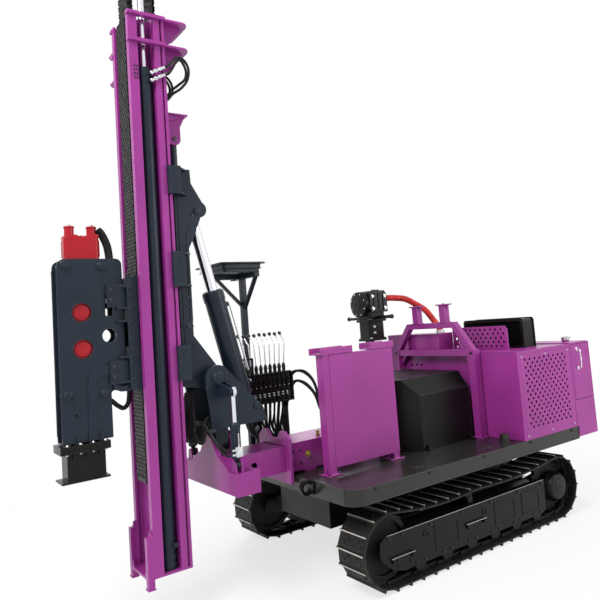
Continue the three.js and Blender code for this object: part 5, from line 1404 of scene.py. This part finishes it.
def make_carriage_details():
    """The hammer carriage's hinge bars, knuckles, shelves and bolts."""
    frame_ = Piece("carriage_bars", "blue", "hammer", bevel=0.003)
    for s in (1, -1):
        y0, y1 = span(s, 0.088, 0.114)
        # Hinge bar beside the face plate, with its knuckles.
        frame_.box(2.799, 2.815, *span(s, 0.12, 0.152), 1.8, 2.682)
        for z in (2.61, 2.54, 2.44, 2.336, 2.2, 2.055, 2.02, 1.88):
            frame_.box(2.79, 2.83, *span(s, 0.114, 0.158), z - 0.014, z + 0.014)
        frame_.cyl((2.824, s * 0.136, 1.8), (2.824, s * 0.136, 2.7), 0.016, 20)
        # Shelves from the bar to the hammer's side plate.
        for z in (2.614, 2.44, 2.336, 2.055, 1.86):
            frame_.prism("z", [(2.8, s * 0.144), (2.83, s * 0.136), (2.905, s * 0.112),
                               (2.905, s * 0.0855), (2.8, s * 0.0855)], z - 0.009, z + 0.009)
        # Curl at the lower end.
        frame_.prism("y", [(2.8, 1.8), (2.842, 1.786), (2.905, 1.79), (2.96, 1.815), (2.955, 1.85),
                           (2.9, 1.828), (2.8, 1.845)], y0, y1)
    frame_.done()
    screws = Piece("carriage_bolts", "bolt", "hammer")
    for s in (1, -1):
        for z in (1.86, 1.94, 2.5, 2.58, 2.65):
            screws.bolt((2.8, s * 0.103, z), AHEAD, 0.022)
        for z in (1.862, 1.938, 2.462, 2.538):
            screws.bolt((2.955, s * 0.1115, z + 0.05), (0, s, 0), 0.026)
        screws.lathe((2.824, s * 0.136, 2.699), UP, [(0, 0.018), (0.01, 0.018), (0.014, 0.01)], 20)
    screws.done()


def make_hammer_details():
    """The hammer frame, its breaker, the shackle and the drive cap."""
    trim = Piece("hammer_details", "blue", "hammer", bevel=0.0035, segments=3)
    for s in (1, -1):
        y0, y1 = span(s, 0.0848, 0.0935)
        # Raised band: in from the carriage, round the corner and down to the flange.
        outer = [(2.872, 2.0)] + arc(3.028, 1.888, 0.112, 90, 0, 8) + [(3.152, 1.46)]
        inner = [(3.098, 1.46)] + arc(3.012, 1.862, 0.068, 0, 90, 6) + [(2.872, 1.93)]
        trim.prism("y", outer + inner, y0, y1)
        # Ribs above the flange.
        for x in (3.231, 3.145, 3.056):
            trim.prism("y", [(x - 0.006, 1.44), (x + 0.006, 1.44), (x + 0.006, 1.505),
                             (x - 0.006, 1.505)], *span(s, 0.0848, 0.104))
        # Rims round the two ports and the lifting hole.
        for x, z, r in ((3.164, 2.425, 0.0725), (3.164, 2.145, 0.0725), (2.966, 2.232, 0.0545)):
            trim.prism("y", ring(x, z, r + 0.006, 40), *span(s, 0.0846, 0.0866),
                       holes=[ring(x, z, r, 40)])
        # Weld bead along the plate's front edge.
        trim.tube([(3.3355, s * 0.078, 1.5), (3.3355, s * 0.078, 2.76)], 0.004, 8, 0)
    # Tie bars between the two side plates.
    for x, z in ((3.28, 2.79), (3.28, 1.806), (3.017, 1.785)):
        trim.cyl((x + 0.022, -0.066, z), (x + 0.022, 0.066, z), 0.017, 18)
    trim.done()

    heads = Piece("hammer_side_bolts", "blue", "hammer", bevel=0.002)
    for s in (1, -1):
        for x, z in ((3.28, 2.793), (3.006, 2.779), (3.287, 1.806), (3.02, 1.785)):
            heads.lathe((x, s * 0.0848, z), (0, s, 0), [(0, 0.038), (0.004, 0.038), (0.006, 0.034),
                                                        (0.006, 0.03), (0.018, 0.03), (0.022, 0.026),
                                                        (0.0225, 0.004)], 30)
        heads.lathe((3.232, s * 0.0848, 1.654), (0, s, 0), [(0, 0.017), (0.004, 0.017), (0.006, 0.013)],
                    20)
    heads.done()
    # Painted shade: dark discs in the plug heads stand for their holes.
    dark = Piece("hammer_plug_hole_shadows", "shadow", "hammer")
    for s in (1, -1):
        dark.lathe((3.232, s * 0.0906, 1.654), (0, s, 0), [(0, 0.0095), (0.0004, 0.0095)], 18)
    dark.done()

    red = Piece("breaker_details", "red", "hammer", bevel=0.003)
    for x in (3.05, 3.215):
        red.lathe((x, 0, 3.09), UP, [(0, 0.04), (0.012, 0.04), (0.016, 0.036)], 32)
        red.lathe((x, 0, 3.0195), UP, [(0, 0.046), (0.01, 0.046), (0.014, 0.038)], 32)
    red.prism("y", [(3.01, 3.004), (3.262, 3.004), (3.262, 3.026), (3.245, 3.034), (3.17, 3.034),
                    (3.16, 3.024), (3.105, 3.024), (3.095, 3.036), (3.01, 3.036)], -0.058, 0.058)
    for s in (1, -1):
        for x, z in ((3.164, 2.425), (3.164, 2.145)):
            red.lathe((x, s * 0.0618, z), (0, s, 0), [(0, 0.062), (0.006, 0.062), (0.01, 0.052),
                                                      (0.0105, 0.004)], 40)
    for x0, x1 in ((3.006, 3.012), (3.258, 3.264)):
        red.box(x0 - 0.004, x1 + 0.004, -0.045, 0.045, 2.86, 2.99)
    red.done()
    tops = Piece("breaker_bolts", "zinc", "hammer")
    for x in (3.05, 3.215):
        tops.bolt((x, 0, 3.106), UP, 0.03)
    for s in (1, -1):
        tops.bolt((3.1365, s * 0.042, 3.0245), UP, 0.018)
    tops.done()

    # A bow shackle hanging in the lifting slot.
    shackle = Piece("slot_shackle", "zinc", "hammer", bevel=0.0005)
    shackle.cyl((2.932, 0.066, 2.52), (2.988, 0.066, 2.52), 0.006, 16)
    shackle.tube([(2.945, 0.066, 2.52), (2.942, 0.072, 2.494), (2.96, 0.078, 2.468),
                  (2.978, 0.072, 2.494), (2.975, 0.066, 2.52)], 0.0045, 12, 0.005)
    shackle.done()

    cap = Piece("drive_cap_details", "black", "hammer", bevel=0.003)
    for s in (1, -1):
        cap.box(3.01, 3.35, *span(s, 0.1145, 0.1175), 1.386, 1.434)
        for x in (3.08, 3.172, 3.265):
            cap.box(x - 0.006, x + 0.006, *span(s, 0.0895, 0.112), 1.34, 1.3795)
        cap.tube([(3.04, s * 0.0905, 1.181), (3.305, s * 0.0905, 1.181)], 0.004, 8, 0)
    cap.done()
    studs = Piece("drive_cap_studs", "zinc", "hammer")
    for s in (1, -1):
        for x in (3.035, 3.125, 3.215, 3.31):
            studs.bolt((x, s * 0.1035, 1.3795), DOWN, 0.018)
            studs.bolt((x, s * 0.1035, 1.4402), UP, 0.022)
    studs.done()


def make_long_hoses():
    """The hammer's two supply hoses, with their clamp, and the red feed hose of the rotary head."""
    for k, y in enumerate((-0.03, 0.03)):
        hose(f"hammer_hose_{k + 1}", "hose", "hammer", [(3.004, y, 3.084), (2.971, y, 3.046),
                                                        (2.932, y, 2.949), (2.918, y, 2.835),
                                                        (2.916, y, 2.746)], 0.022, 0.012, 18,
             ["hammer_hoses"] if k == 0 else [])
    clamp = Piece("hammer_hose_clamp", "zinc", "hammer", "black_rubber", bevel=0.0015)
    clamp.box(2.8955, 2.937, -0.056, 0.056, 2.8, 2.828)
    clamp.bolt((2.9365, 0, 2.814), AHEAD, 0.018)
    clamp.done()
    hose("lower_hammer_hose", "hose", "hammer", [(3.003, 0, 1.742), (2.955, 0, 1.724),
                                                 (2.905, 0, 1.676), (2.858, 0, 1.65), (2.82, 0, 1.69),
                                                 (2.806, 0, 1.8)], 0.018, 0.01, 16)
    hose("rotary_feed_hose", "red_hose", "chassis", [(-0.3453, -0.52, 2.405), (-0.425, -0.494, 2.412),
                                                     (-0.485, -0.445, 2.405), (-0.6, -0.403, 2.385),
                                                     (-0.7, -0.345, 2.317), (-0.785, -0.265, 2.23),
                                                     (-0.832, -0.19, 2.105), (-0.85, -0.126, 2.015),
                                                     (-0.85, -0.12, 1.957)], 0.036, 0.015, 28,
         ["red_hose"])


make_long_hoses()
make_chain()
make_mast_details()
make_hoist_details()
make_crosshead_details()
make_guide_details()
make_carriage_details()
make_hammer_details()


# ------------------------------------------------ operator's station, hoses
BANK_X0, BANK_X1, BANK_Z0, BANK_Z1 = 1.01, 1.6, 1.43, 1.76
SECTIONS = 10
SECTION = (BANK_X1 - BANK_X0 - 0.06) / SECTIONS


def section_middle(k):
    """X of the middle of one valve section."""
    return BANK_X0 + 0.029 + SECTION * (k + 0.5)


def make_valve_bank():
    """Two rows of valve sections on a shelf, with their spool caps, ports and tie bolts."""
    body = Piece("valve_bank", "black", "chassis", bevel=0.003, hides=["valve_console"])
    body.box(BANK_X0, BANK_X1, -0.6, -0.43, BANK_Z0, BANK_Z0 + 0.018)
    body.box(BANK_X0, BANK_X0 + 0.016, -0.6, -0.43, BANK_Z0, BANK_Z1 - 0.04)
    body.box(BANK_X1 - 0.016, BANK_X1, -0.6, -0.43, BANK_Z0, BANK_Z1 - 0.04)
    for x in (1.07, 1.395):
        body.box(x - 0.025, x + 0.025, -0.56, -0.51, FLOOR, BANK_Z0 + 0.002)
        body.box(x - 0.05, x + 0.05, -0.59, -0.48, FLOOR, FLOOR + 0.012)
        body.prism("x", [(-0.511, BANK_Z0 + 0.001), (-0.44, BANK_Z0 + 0.001),
                         (-0.511, BANK_Z0 - 0.075)], x - 0.005, x + 0.005)
    body.prism("z", rounded(1.022, 1.588, -0.592, -0.438, 0.01), BANK_Z1 - 0.045, BANK_Z1 - 0.028)
    for k in range(SECTIONS):
        x = BANK_X0 + 0.032 + SECTION * k
        low, high = BANK_Z0 + 0.1, BANK_Z1 - 0.046
        body.box(x, x + SECTION - 0.006, -0.578, -0.452, low, high)
        body.box(x + 0.006, x + SECTION - 0.012, -0.452, -0.436, low + 0.05, high - 0.05)
        mid = x + SECTION / 2 - 0.003
        body.cyl((mid, -0.515, high - 0.001), (mid, -0.515, BANK_Z1 + 0.018), 0.017, 20)
        body.lathe((mid, -0.515, BANK_Z1 + 0.002), UP, [(0, 0.021), (0.01, 0.021), (0.026, 0.012),
                                                        (0.034, 0.009)], 20)
        body.cyl((mid, -0.5, BANK_Z0 + 0.018), (mid, -0.5, low + 0.001), 0.018, 20)
        body.cyl((mid, -0.436, (low + high) / 2 + 0.04), (mid, -0.424, (low + high) / 2 + 0.04), 0.013,
                 18)
    body.done()
    caps = Piece("valve_bank_bolts", "zinc", "chassis")
    for z in (BANK_Z0 + 0.125, BANK_Z1 - 0.075):
        for y in (-0.56, -0.47):
            caps.bolt((BANK_X1 - 0.0005, y, z), AHEAD, 0.022)
            caps.bolt((BANK_X0 + 0.0005, y, z), ASTERN, 0.022)
    for k in range(SECTIONS):
        mid = section_middle(k)
        caps.bolt((mid, -0.4365, BANK_Z0 + 0.165), (0, 1, 0), 0.013, False)
        # Two fittings down from each section, where its hoses start.
        for y in (-0.545, -0.472):
            caps.lathe((mid, y, BANK_Z0 + 0.102), DOWN, [(0, 0.0125), (0.014, 0.0125)], 6)
            caps.lathe((mid, y, BANK_Z0 + 0.088), DOWN, [(0, 0.0095), (0.01, 0.0095), (0.01, 0.013),
                                                         (0.024, 0.013)], 18)
    for x in (1.07, 1.395):
        for dx in (-0.036, 0.036):
            for y in (-0.578, -0.492):
                caps.bolt((x + dx, y, FLOOR + 0.0118), UP, 0.017)
    caps.done()


def make_levers():
    """Levers with their boots and knobs, and the grab bar before them."""
    sticks = Piece("lever_sticks", "chrome", "chassis", hides=["levers"])
    knobs = Piece("lever_knobs", "knob", "chassis", smooth=60)
    boots = Piece("lever_boots", "hose", "chassis", smooth=60)
    for k in range(SECTIONS):
        x = section_middle(k)
        fan = (k - 4.5) * 0.0075
        foot = Vector((x, -0.515, BANK_Z1 + 0.03))
        elbow = Vector((x + fan * 0.8, -0.52, BANK_Z1 + 0.262 - 0.003 * (k % 3)))
        tip = Vector((x + fan + 0.006, -0.59, BANK_Z1 + 0.345 - 0.004 * (k % 2)))
        over = (tip - elbow).normalized()
        sticks.tube([foot, foot.lerp(elbow, 0.5), elbow - Vector((0, 0, 0.022)), elbow,
                     elbow + over * 0.022, elbow.lerp(tip, 0.7), tip], 0.0065, 14, 0.008)
        knobs.lathe(tip - over * 0.012, over, [(0, 0.008), (0.008, 0.01), (0.018, 0.0165),
                                               (0.03, 0.0185), (0.04, 0.0155), (0.047, 0.008),
                                               (0.049, 0.001)], 20)
        boots.lathe(foot - Vector((0, 0, 0.01)), UP, [(0, 0.02), (0.006, 0.0205), (0.01, 0.0165),
                                                      (0.015, 0.0175), (0.019, 0.0135), (0.024, 0.0145),
                                                      (0.028, 0.01), (0.034, 0.0075)], 20)
    sticks.done()
    knobs.done()
    boots.done()
    # The square grab bar in front of the levers.
    bar = Piece("grab_bar", "black", "chassis", bevel=0.0035)
    bar.box(1.455, 1.475, -0.448, -0.428, BANK_Z1 - 0.03, BANK_Z1 + 0.12)
    bar.box(1.575, 1.595, -0.448, -0.428, BANK_Z1 - 0.03, BANK_Z1 + 0.12)
    bar.box(1.455, 1.595, -0.448, -0.428, BANK_Z1 + 0.119, BANK_Z1 + 0.139)
    bar.done()


def make_canopy():
    """The canopy: its layered roof, its stand and its bolts."""
    x0, x1, y0, y1, top = 1.23, 1.74, -1.08, -0.43, 2.86
    roof = Piece("canopy_roof", "blue", "chassis", bevel=0.003, segments=3, hides=["canopy"])
    roof.prism("z", rounded(x0, x1, y0, y1, 0.05, 6), top - 0.016, top)
    roof.prism("z", rounded(x0 + 0.04, x1 - 0.04, y0 + 0.04, y1 - 0.04, 0.035, 6), top - 0.06,
               top - 0.015)
    roof.prism("z", rounded(x0 + 0.03, x1 - 0.03, y0 + 0.03, y1 - 0.03, 0.035, 6), top - 0.064,
               top - 0.058)
    roof.prism("z", rounded(x0 + 0.052, x1 - 0.052, y0 + 0.052, y1 - 0.052, 0.03, 6), top - 0.1,
               top - 0.063)
    roof.done()
    stand = Piece("canopy_stand", "blue", "chassis", bevel=0.006, segments=3)
    px, py = 1.33, -0.8
    stand.box(px - 0.03, px + 0.03, py - 0.03, py + 0.03, FLOOR + 0.012, 2.712)
    stand.box(px - 0.09, px + 0.09, py - 0.09, py + 0.09, FLOOR, FLOOR + 0.014)
    stand.box(1.29, 1.68, py - 0.03, py + 0.03, 2.71, 2.761)
    stand.box(px - 0.03, px + 0.03, -1.02, -0.47, 2.711, 2.7605)
    stand.beam((px, py + 0.02, 2.4), (px, -0.5, 2.715), 0.03, 0.04, up=AHEAD)
    stand.beam((px + 0.02, py, 2.43), (1.62, py, 2.715), 0.03, 0.04, up=(0, 1, 0))
    for dx, dy in ((1, 0), (-1, 0), (0, 1), (0, -1)):
        if dx:
            stand.prism("y", [(px + dx * 0.029, FLOOR + 0.013), (px + dx * 0.08, FLOOR + 0.013),
                              (px + dx * 0.029, FLOOR + 0.12)], py - 0.005, py + 0.005)
        else:
            stand.prism("x", [(py + dy * 0.029, FLOOR + 0.013), (py + dy * 0.08, FLOOR + 0.013),
                              (py + dy * 0.029, FLOOR + 0.12)], px - 0.005, px + 0.005)
    stand.done()
    screws = Piece("canopy_bolts", "bolt", "chassis")
    for dx in (-0.068, 0.068):
        for dy in (-0.068, 0.068):
            screws.bolt((px + dx, py + dy, FLOOR + 0.0138), UP, 0.024)
    for x in (1.42, 1.6):
        for dy in (-0.012, 0.012):
            screws.bolt((x, py + dy, 2.7098), DOWN, 0.016)
    for x in (x0 + 0.07, (x0 + x1) / 2, x1 - 0.07):
        for y in (y0 + 0.07, y1 - 0.07):
            screws.lathe((x, y, top - 0.0002), UP, [(0, 0.01), (0.003, 0.009), (0.005, 0.005)], 16)
    screws.done()


def make_bank_hoses():
    """Hoses from the bank: down behind the collar, and forward in two layers to the swing bracket."""
    inner = Piece("bank_inner_hoses", "hose", "chassis")
    for k in range(SECTIONS):
        x = section_middle(k)
        for j, y in enumerate((-0.545, -0.472)):
            s = (k - 4.5) / 4.5
            z = BANK_Z0 + 0.066
            drift = 0.35 * math.sin(2.1 * k + j)
            swing = 0.052 + 0.012 * drift
            line = [(x, y, z + 0.024), (x, y, z - 0.04), (x - s * 0.02, y - 0.01 + 0.02 * drift, 1.33),
                    (x - s * 0.05 + 0.012 * drift, y + swing * (1 - 2 * j) * 0.4,
                     1.18 - 0.012 * (k % 3)), (1.19 + (k - 4.5) * 0.03, -0.5 + 0.05 * (j - 0.5), 1.02),
                    (1.12 + (k - 4.5) * 0.026, -0.44 + 0.036 * (j - 0.5), 0.93),
                    (1.02 + (k - 4.5) * 0.02, -0.38 + 0.034 * (j - 0.5), 0.888)]
            if j:
                hose(f"bank_hose_{k + 1}", "hose", "chassis", line, 0.0108, 0.02, 10)
            else:
                inner.tube(line, 0.0108, 10, 0.02)
    inner.done()
    elbows = Piece("deck_hose_fittings", "zinc", "chassis", bevel=0.001)
    elbows.box(0.9, 1.14, -0.42, -0.345, FLOOR, FLOOR + 0.022)
    for k in range(10):
        for j in (0, 1):
            elbows.cyl((1.02 + (k - 4.5) * 0.02, -0.38 + 0.034 * (j - 0.5), FLOOR + 0.02),
                       (1.02 + (k - 4.5) * 0.02, -0.38 + 0.034 * (j - 0.5), FLOOR + 0.034), 0.0135, 12)
    elbows.done()


make_valve_bank()
make_levers()
make_canopy()
make_bank_hoses()


# ----------------------------------------- swing bracket, boom, small fittings
def make_sleeve_details():
    """The beam sleeve's wear pad covers, lock bolts and grease fittings."""
    trim = Piece("sleeve_details", "purple", "chassis", bevel=0.002)
    for s in (1, -1):
        y = s * 0.209
        # The wear pads' cover plates.
        for x in (0.56, 1.42):
            trim.prism("y", rounded(x - 0.055, x + 0.055, 0.935, 1.085, 0.012),
                       *sorted((y - s * 0.001, y + s * 0.005)))
    trim.done()
    screws = Piece("sleeve_bolts", "bolt", "chassis")
    brass = Piece("sleeve_lock_bolts", "brass", "chassis")
    for s in (1, -1):
        for x in (0.56, 1.42):
            for dx in (-0.038, 0.038):
                for z in (0.957, 1.063):
                    screws.bolt((x + dx, s * 0.2135, z), (0, s, 0), 0.018)
        brass.bolt((1.3, s * 0.2088, 1.02), (0, s, 0), 0.046)
        brass.lathe((1.3, s * 0.2255, 1.02), (0, s, 0), [(0, 0.01), (0.02, 0.01), (0.023, 0.008)], 16)
    # Grease and hose fittings on top of the collar.
    for x, y in ((1.47, 0.15), (1.47, 0.02), (1.12, 0.12)):
        brass.lathe((x, y, 1.1388), UP, [(0, 0.02), (0.018, 0.02)], 6)
        brass.lathe((x, y, 1.1565), UP, [(0, 0.012), (0.012, 0.012), (0.012, 0.017), (0.034, 0.017)], 6)
    screws.done()
    brass.done()


def make_cross_head_details():
    """Weld beads on the cross head's ends."""
    trim = Piece("cross_head_details", "purple", "beam", bevel=0.002)
    for s in (1, -1):
        for x in (1.968, 2.162):
            d = 1 if x > 2.1 else -1
            trim.tube([(x + d * 0.002, s * 0.3, 0.884), (x + d * 0.002, s * 0.5, 0.884)], 0.005, 8, 0)
    trim.done()


def make_swing_details():
    """The swing bracket's pin heads, keepers and bolts."""
    trim = Piece("swing_bracket_details", "blue", "swing", bevel=0.003)
    screws = Piece("swing_bracket_bolts", "bolt", "swing")
    for s in (1, -1):
        y = s * 0.24
        # The pivot pin's head, its keeper plate, and the tilt cylinder's foot pin.
        trim.lathe((2.15, y, 1.805), (0, s, 0), [(0, 0.058), (0.008, 0.058), (0.008, 0.05),
                                                 (0.026, 0.05), (0.032, 0.044), (0.0325, 0.006)], 40)
        trim.lathe((1.8, y, 1.532), (0, s, 0), [(0, 0.034), (0.01, 0.034), (0.014, 0.03),
                                                (0.0145, 0.004)], 32)
        trim.prism("y", rounded(2.055, 2.098, 1.78, 1.85, 0.008),
                   *sorted((y - s * 0.001, y + s * 0.008)))
        screws.bolt((2.076, y + s * 0.008, 1.797), (0, s, 0), 0.018)
        screws.bolt((2.076, y + s * 0.008, 1.833), (0, s, 0), 0.018)
        screws.lathe((1.815, y, 1.335), (0, s, 0), [(0, 0.022), (0.004, 0.022), (0.006, 0.017),
                                                    (0.0065, 0.004)], 24)
    trim.done()
    screws.done()


def make_cylinder_details():
    """The swing and tilt cylinders' glands, feet, valve blocks, pipes and hoses."""
    for s, side in ((1, "left"), (-1, "right")):
        x, y, foot = 2.12, s * 0.44, 1.115
        gland = Piece(side + "_swing_gland", "blue", side + "_swing_barrel", bevel=0.0012)
        gland.pipe((x, y, foot + 0.288), UP, [(0, 0.0415), (0.003, 0.0435), (0.036, 0.0435),
                                              (0.042, 0.038), (0.05, 0.034), (0.05, 0.0208),
                                              (0, 0.0208)], 36)
        gland.cyl((x, y + s * 0.034, foot + 0.262), (x, y + s * 0.052, foot + 0.262), 0.012, 18)
        gland.done()
        boot = Piece(side + "_swing_foot", "black", side + "_swing_barrel", "black_rubber",
                     bevel=0.0012)
        boot.lathe((x, y, foot + 0.036), UP, [(0, 0.018), (0.014, 0.026), (0.022, 0.024), (0.03, 0.031),
                                              (0.04, 0.03), (0.052, 0.0405), (0.056, 0.0405)], 28)
        boot.done()
        block = Piece(side + "_swing_valve", "white", side + "_swing_barrel", bevel=0.002)
        block.box(x - 0.026, x + 0.026, *sorted((y + s * 0.037, y + s * 0.068)), foot + 0.07,
                  foot + 0.146)
        block.box(x - 0.018, x + 0.018, *sorted((y + s * 0.067, y + s * 0.075)), foot + 0.086,
                  foot + 0.13)
        block.done()
        bits = Piece(side + "_swing_fittings", "zinc", side + "_swing_barrel", bevel=0.0008)
        for z in (foot + 0.09, foot + 0.126):
            bits.lathe((x + 0.0255, y + s * 0.052, z), AHEAD, [(0, 0.011), (0.012, 0.011)], 6)
            bits.lathe((x + 0.037, y + s * 0.052, z), AHEAD,
                       [(0, 0.008), (0.01, 0.008), (0.01, 0.0105), (0.026, 0.0105)], 16)
        bits.lathe((x, y + s * 0.052, foot + 0.1455), UP, [(0, 0.012), (0.012, 0.012), (0.012, 0.008),
                                                           (0.022, 0.008)], 6)
        bits.tube([(x, y + s * 0.052, foot + 0.166), (x, y + s * 0.054, foot + 0.215),
                   (x, y + s * 0.052, foot + 0.256)], 0.006, 12)
        for dx in (-0.018, 0.018):
            for z in (foot + 0.078, foot + 0.138):
                bits.bolt((x + dx, y + s * 0.0678, z), (0, s, 0), 0.009, False)
        bits.done()
        for k, z in enumerate((foot + 0.09, foot + 0.126)):
            a = 0.02 * k
            hose(f"{side}_swing_hose_{k + 1}", "hose", side + "_swing_barrel",
                 [(x + 0.06, y + s * 0.052, z), (x + 0.1, y + s * 0.05, z + 0.004),
                  (x + 0.14 + a, y + s * 0.01, z + 0.05 + a),
                  (x + 0.158 + a, y - s * 0.07, z + 0.12 + a),
                  (x + 0.162 + a, y - s * 0.15, z + 0.165 + a),
                  (x + 0.15 + a, y - s * 0.215, z + 0.19 + a),
                  (x + 0.112, y - s * 0.245, z + 0.235 + a)], 0.0095)
    tilt_foot, tilt_top = Vector((1.8, 0, 1.532)), Vector((2.21, 0, 3.24))
    along = (tilt_top - tilt_foot).normalized()
    side_way = Vector((along.z, 0, -along.x))
    gland = Piece("tilt_cylinder_gland", "blue", "tilt_barrel", bevel=0.002)
    gland.pipe(tilt_foot + along * 0.955, along, [(0, 0.0915), (0.005, 0.095), (0.08, 0.095),
                                                  (0.088, 0.088), (0.098, 0.076), (0.098, 0.051),
                                                  (0, 0.051)], 56)
    for at in (0.17, 0.9):
        gland.cyl(tilt_foot + along * at - side_way * 0.08, tilt_foot + along * at - side_way * 0.112,
                  0.022, 24)
    gland.done()
    pipes = Piece("tilt_cylinder_pipes", "zinc", "tilt_barrel")
    high, low = tilt_foot + along * 0.9 - side_way * 0.108, tilt_foot + along * 0.17 - side_way * 0.108
    pipes.tube([high, high - side_way * 0.018 - along * 0.02, high - side_way * 0.02 - along * 0.08,
                low - side_way * 0.02 + along * 0.2, low - side_way * 0.022 + along * 0.1], 0.009, 14)
    pipes.ball(high, 0.02, 14)
    pipes.ball(low, 0.02, 14)
    pipes.done()


def make_front_hoses():
    """Hoses that loop from the bracket's floor up between the mast support's plates."""
    block = Piece("bracket_bulkhead", "black", "swing", bevel=0.002)
    block.box(2.2245, 2.262, -0.19, 0.19, 1.412, 1.452)
    block.done()
    for k in range(8):
        t = (k - 3.5) / 3.5
        y = 0.165 * t
        out = 0.03 * math.sin(1.7 * k + 0.6)
        hose(f"front_hose_{k + 1}", "hose", "swing", [(2.25, y, 1.414), (2.258, y * 1.02, 1.36),
                                                      (2.285 + out * 0.3, y * 1.06, 1.29 - out * 0.4),
                                                      (2.322 + out * 0.2, y * 1.05, 1.3 - out * 0.3),
                                                      (2.342, y * 0.98, 1.375),
                                                      (2.336 - out * 0.2, y * 0.86, 1.48),
                                                      (2.318, y * 0.62, 1.585), (2.306, y * 0.5, 1.69)],
             0.0125)


def make_side_hoses():
    """Two pairs of hoses that arc from the valve bank's end to the deck behind the guard panel."""
    for k in range(4):
        lift, x = 0.045 * (k % 2), 0.985 - 0.055 * k
        hose(f"guard_hose_{k + 1}", "hose", "chassis", [(1.012, -0.47 - 0.03 * (k % 2),
                                                         1.7 - 0.055 * k),
                                                        (0.96, -0.452, 1.716 - 0.05 * k + lift),
                                                        (0.88, -0.405, 1.7 - 0.06 * k + lift),
                                                        (0.8, -0.372, 1.59 - 0.06 * k + lift),
                                                        (0.755, -0.362, 1.4 - 0.03 * k),
                                                        (0.735 - 0.02 * k, -0.366, 1.15),
                                                        (0.73 - 0.024 * k, -0.37, 0.96),
                                                        (0.73 - 0.026 * k, -0.372, 0.884)], 0.0125)


make_sleeve_details()
make_cross_head_details()
make_swing_details()
make_cylinder_details()
make_front_hoses()
make_side_hoses()


# ------------------------------------------------------- floor, light, view
def seen_directly(tree, path):
    """1 for a ray from the camera and for one it sends on by mirror or through glass, 0 for light."""
    source = path.outputs["Is Camera Ray"]
    for name in ("Is Glossy Ray", "Is Transmission Ray"):
        most = tree.nodes.new("ShaderNodeMath")
        most.operation = "MAXIMUM"
        tree.links.new(source, most.inputs[0])
        tree.links.new(path.outputs[name], most.inputs[1])
        source = most.outputs["Value"]
    return source


def make_stage():
    """The pale floor, and a world that lights softly and is seen white."""
    bm = bmesh.new()
    bmesh.ops.create_grid(bm, x_segments=1, y_segments=1, size=60)
    mesh = bpy.data.meshes.new("floor")
    bm.to_mesh(mesh)
    bm.free()
    floor = bpy.data.objects.new("floor", mesh)
    bpy.context.scene.collection.objects.link(floor)
    made = bpy.data.materials.new("floor_pale")
    made.use_nodes = True
    floor_tree = made.node_tree
    shader = floor_tree.nodes["Principled BSDF"]
    shader.inputs["Base Color"].default_value = (0.9, 0.9, 0.9, 1)
    shader.inputs["Roughness"].default_value = 0.9
    shader.inputs["Specular IOR Level"].default_value = 0.1
    glow = floor_tree.nodes.new("ShaderNodeEmission")
    seen = floor_tree.nodes.new("ShaderNodeLightPath")
    blend = floor_tree.nodes.new("ShaderNodeMixShader")
    # The floor pales to the backdrop's white away from the rig, and keeps the rig's shadow near it.
    place = floor_tree.nodes.new("ShaderNodeTexCoord")
    reach = floor_tree.nodes.new("ShaderNodeVectorMath")
    reach.operation = "LENGTH"
    floor_tree.links.new(place.outputs["Object"], reach.inputs[0])
    pale = ramp(floor_tree, reach.outputs["Value"], 2.4, 6.5, 0.72, 1.0)
    share = floor_tree.nodes.new("ShaderNodeMath")
    share.operation = "MULTIPLY"
    floor_tree.links.new(seen_directly(floor_tree, seen), share.inputs[0])
    floor_tree.links.new(pale, share.inputs[1])
    floor_tree.links.new(share.outputs["Value"], blend.inputs["Fac"])
    floor_tree.links.new(shader.outputs["BSDF"], blend.inputs[1])
    floor_tree.links.new(glow.outputs["Emission"], blend.inputs[2])
    floor_tree.links.new(blend.outputs["Shader"], floor_tree.nodes["Material Output"].inputs["Surface"])
    mesh.materials.append(made)

    world = bpy.data.worlds.new("studio")
    bpy.context.scene.world = world
    world.use_nodes = True
    tree = world.node_tree
    tree.nodes.clear()
    out = tree.nodes.new("ShaderNodeOutputWorld")
    soft, white, mix, path = (tree.nodes.new(n) for n in ("ShaderNodeBackground",
                                                          "ShaderNodeBackground", "ShaderNodeMixShader",
                                                          "ShaderNodeLightPath"))
    soft.inputs["Color"].default_value = (0.95, 0.97, 1.0, 1)
    soft.inputs["Strength"].default_value = 0.5
    white.inputs["Color"].default_value = (1, 1, 1, 1)
    white.inputs["Strength"].default_value = 1.0
    tree.links.new(seen_directly(tree, path), mix.inputs["Fac"])
    tree.links.new(soft.outputs["Background"], mix.inputs[1])
    tree.links.new(white.outputs["Background"], mix.inputs[2])
    tree.links.new(mix.outputs["Shader"], out.inputs["Surface"])


def lamp(name, at, towards, size, power, colour=(1, 1, 1)):
    """A round soft lamp, aimed at a point."""
    light = bpy.data.lights.new(name, "AREA")
    light.shape = "DISK"
    light.size, light.energy, light.color = size, power, colour
    obj = bpy.data.objects.new(name, light)
    bpy.context.scene.collection.objects.link(obj)
    obj.location = row(*at)
    obj.rotation_euler = (row(*towards) - row(*at)).to_track_quat("-Z", "Y").to_euler()


make_stage()
lamp("key", (6.5, 2.0, 8.5), (1.2, 0, 1.5), 4.0, 620)
lamp("fill", (-4.5, 6.5, 4.5), (0.2, 0, 1.2), 5.0, 300)
lamp("rim", (-2.5, -7.0, 6.5), (0.8, 0, 1.5), 4.0, 300)
bpy.context.scene.view_settings.view_transform = "Standard"
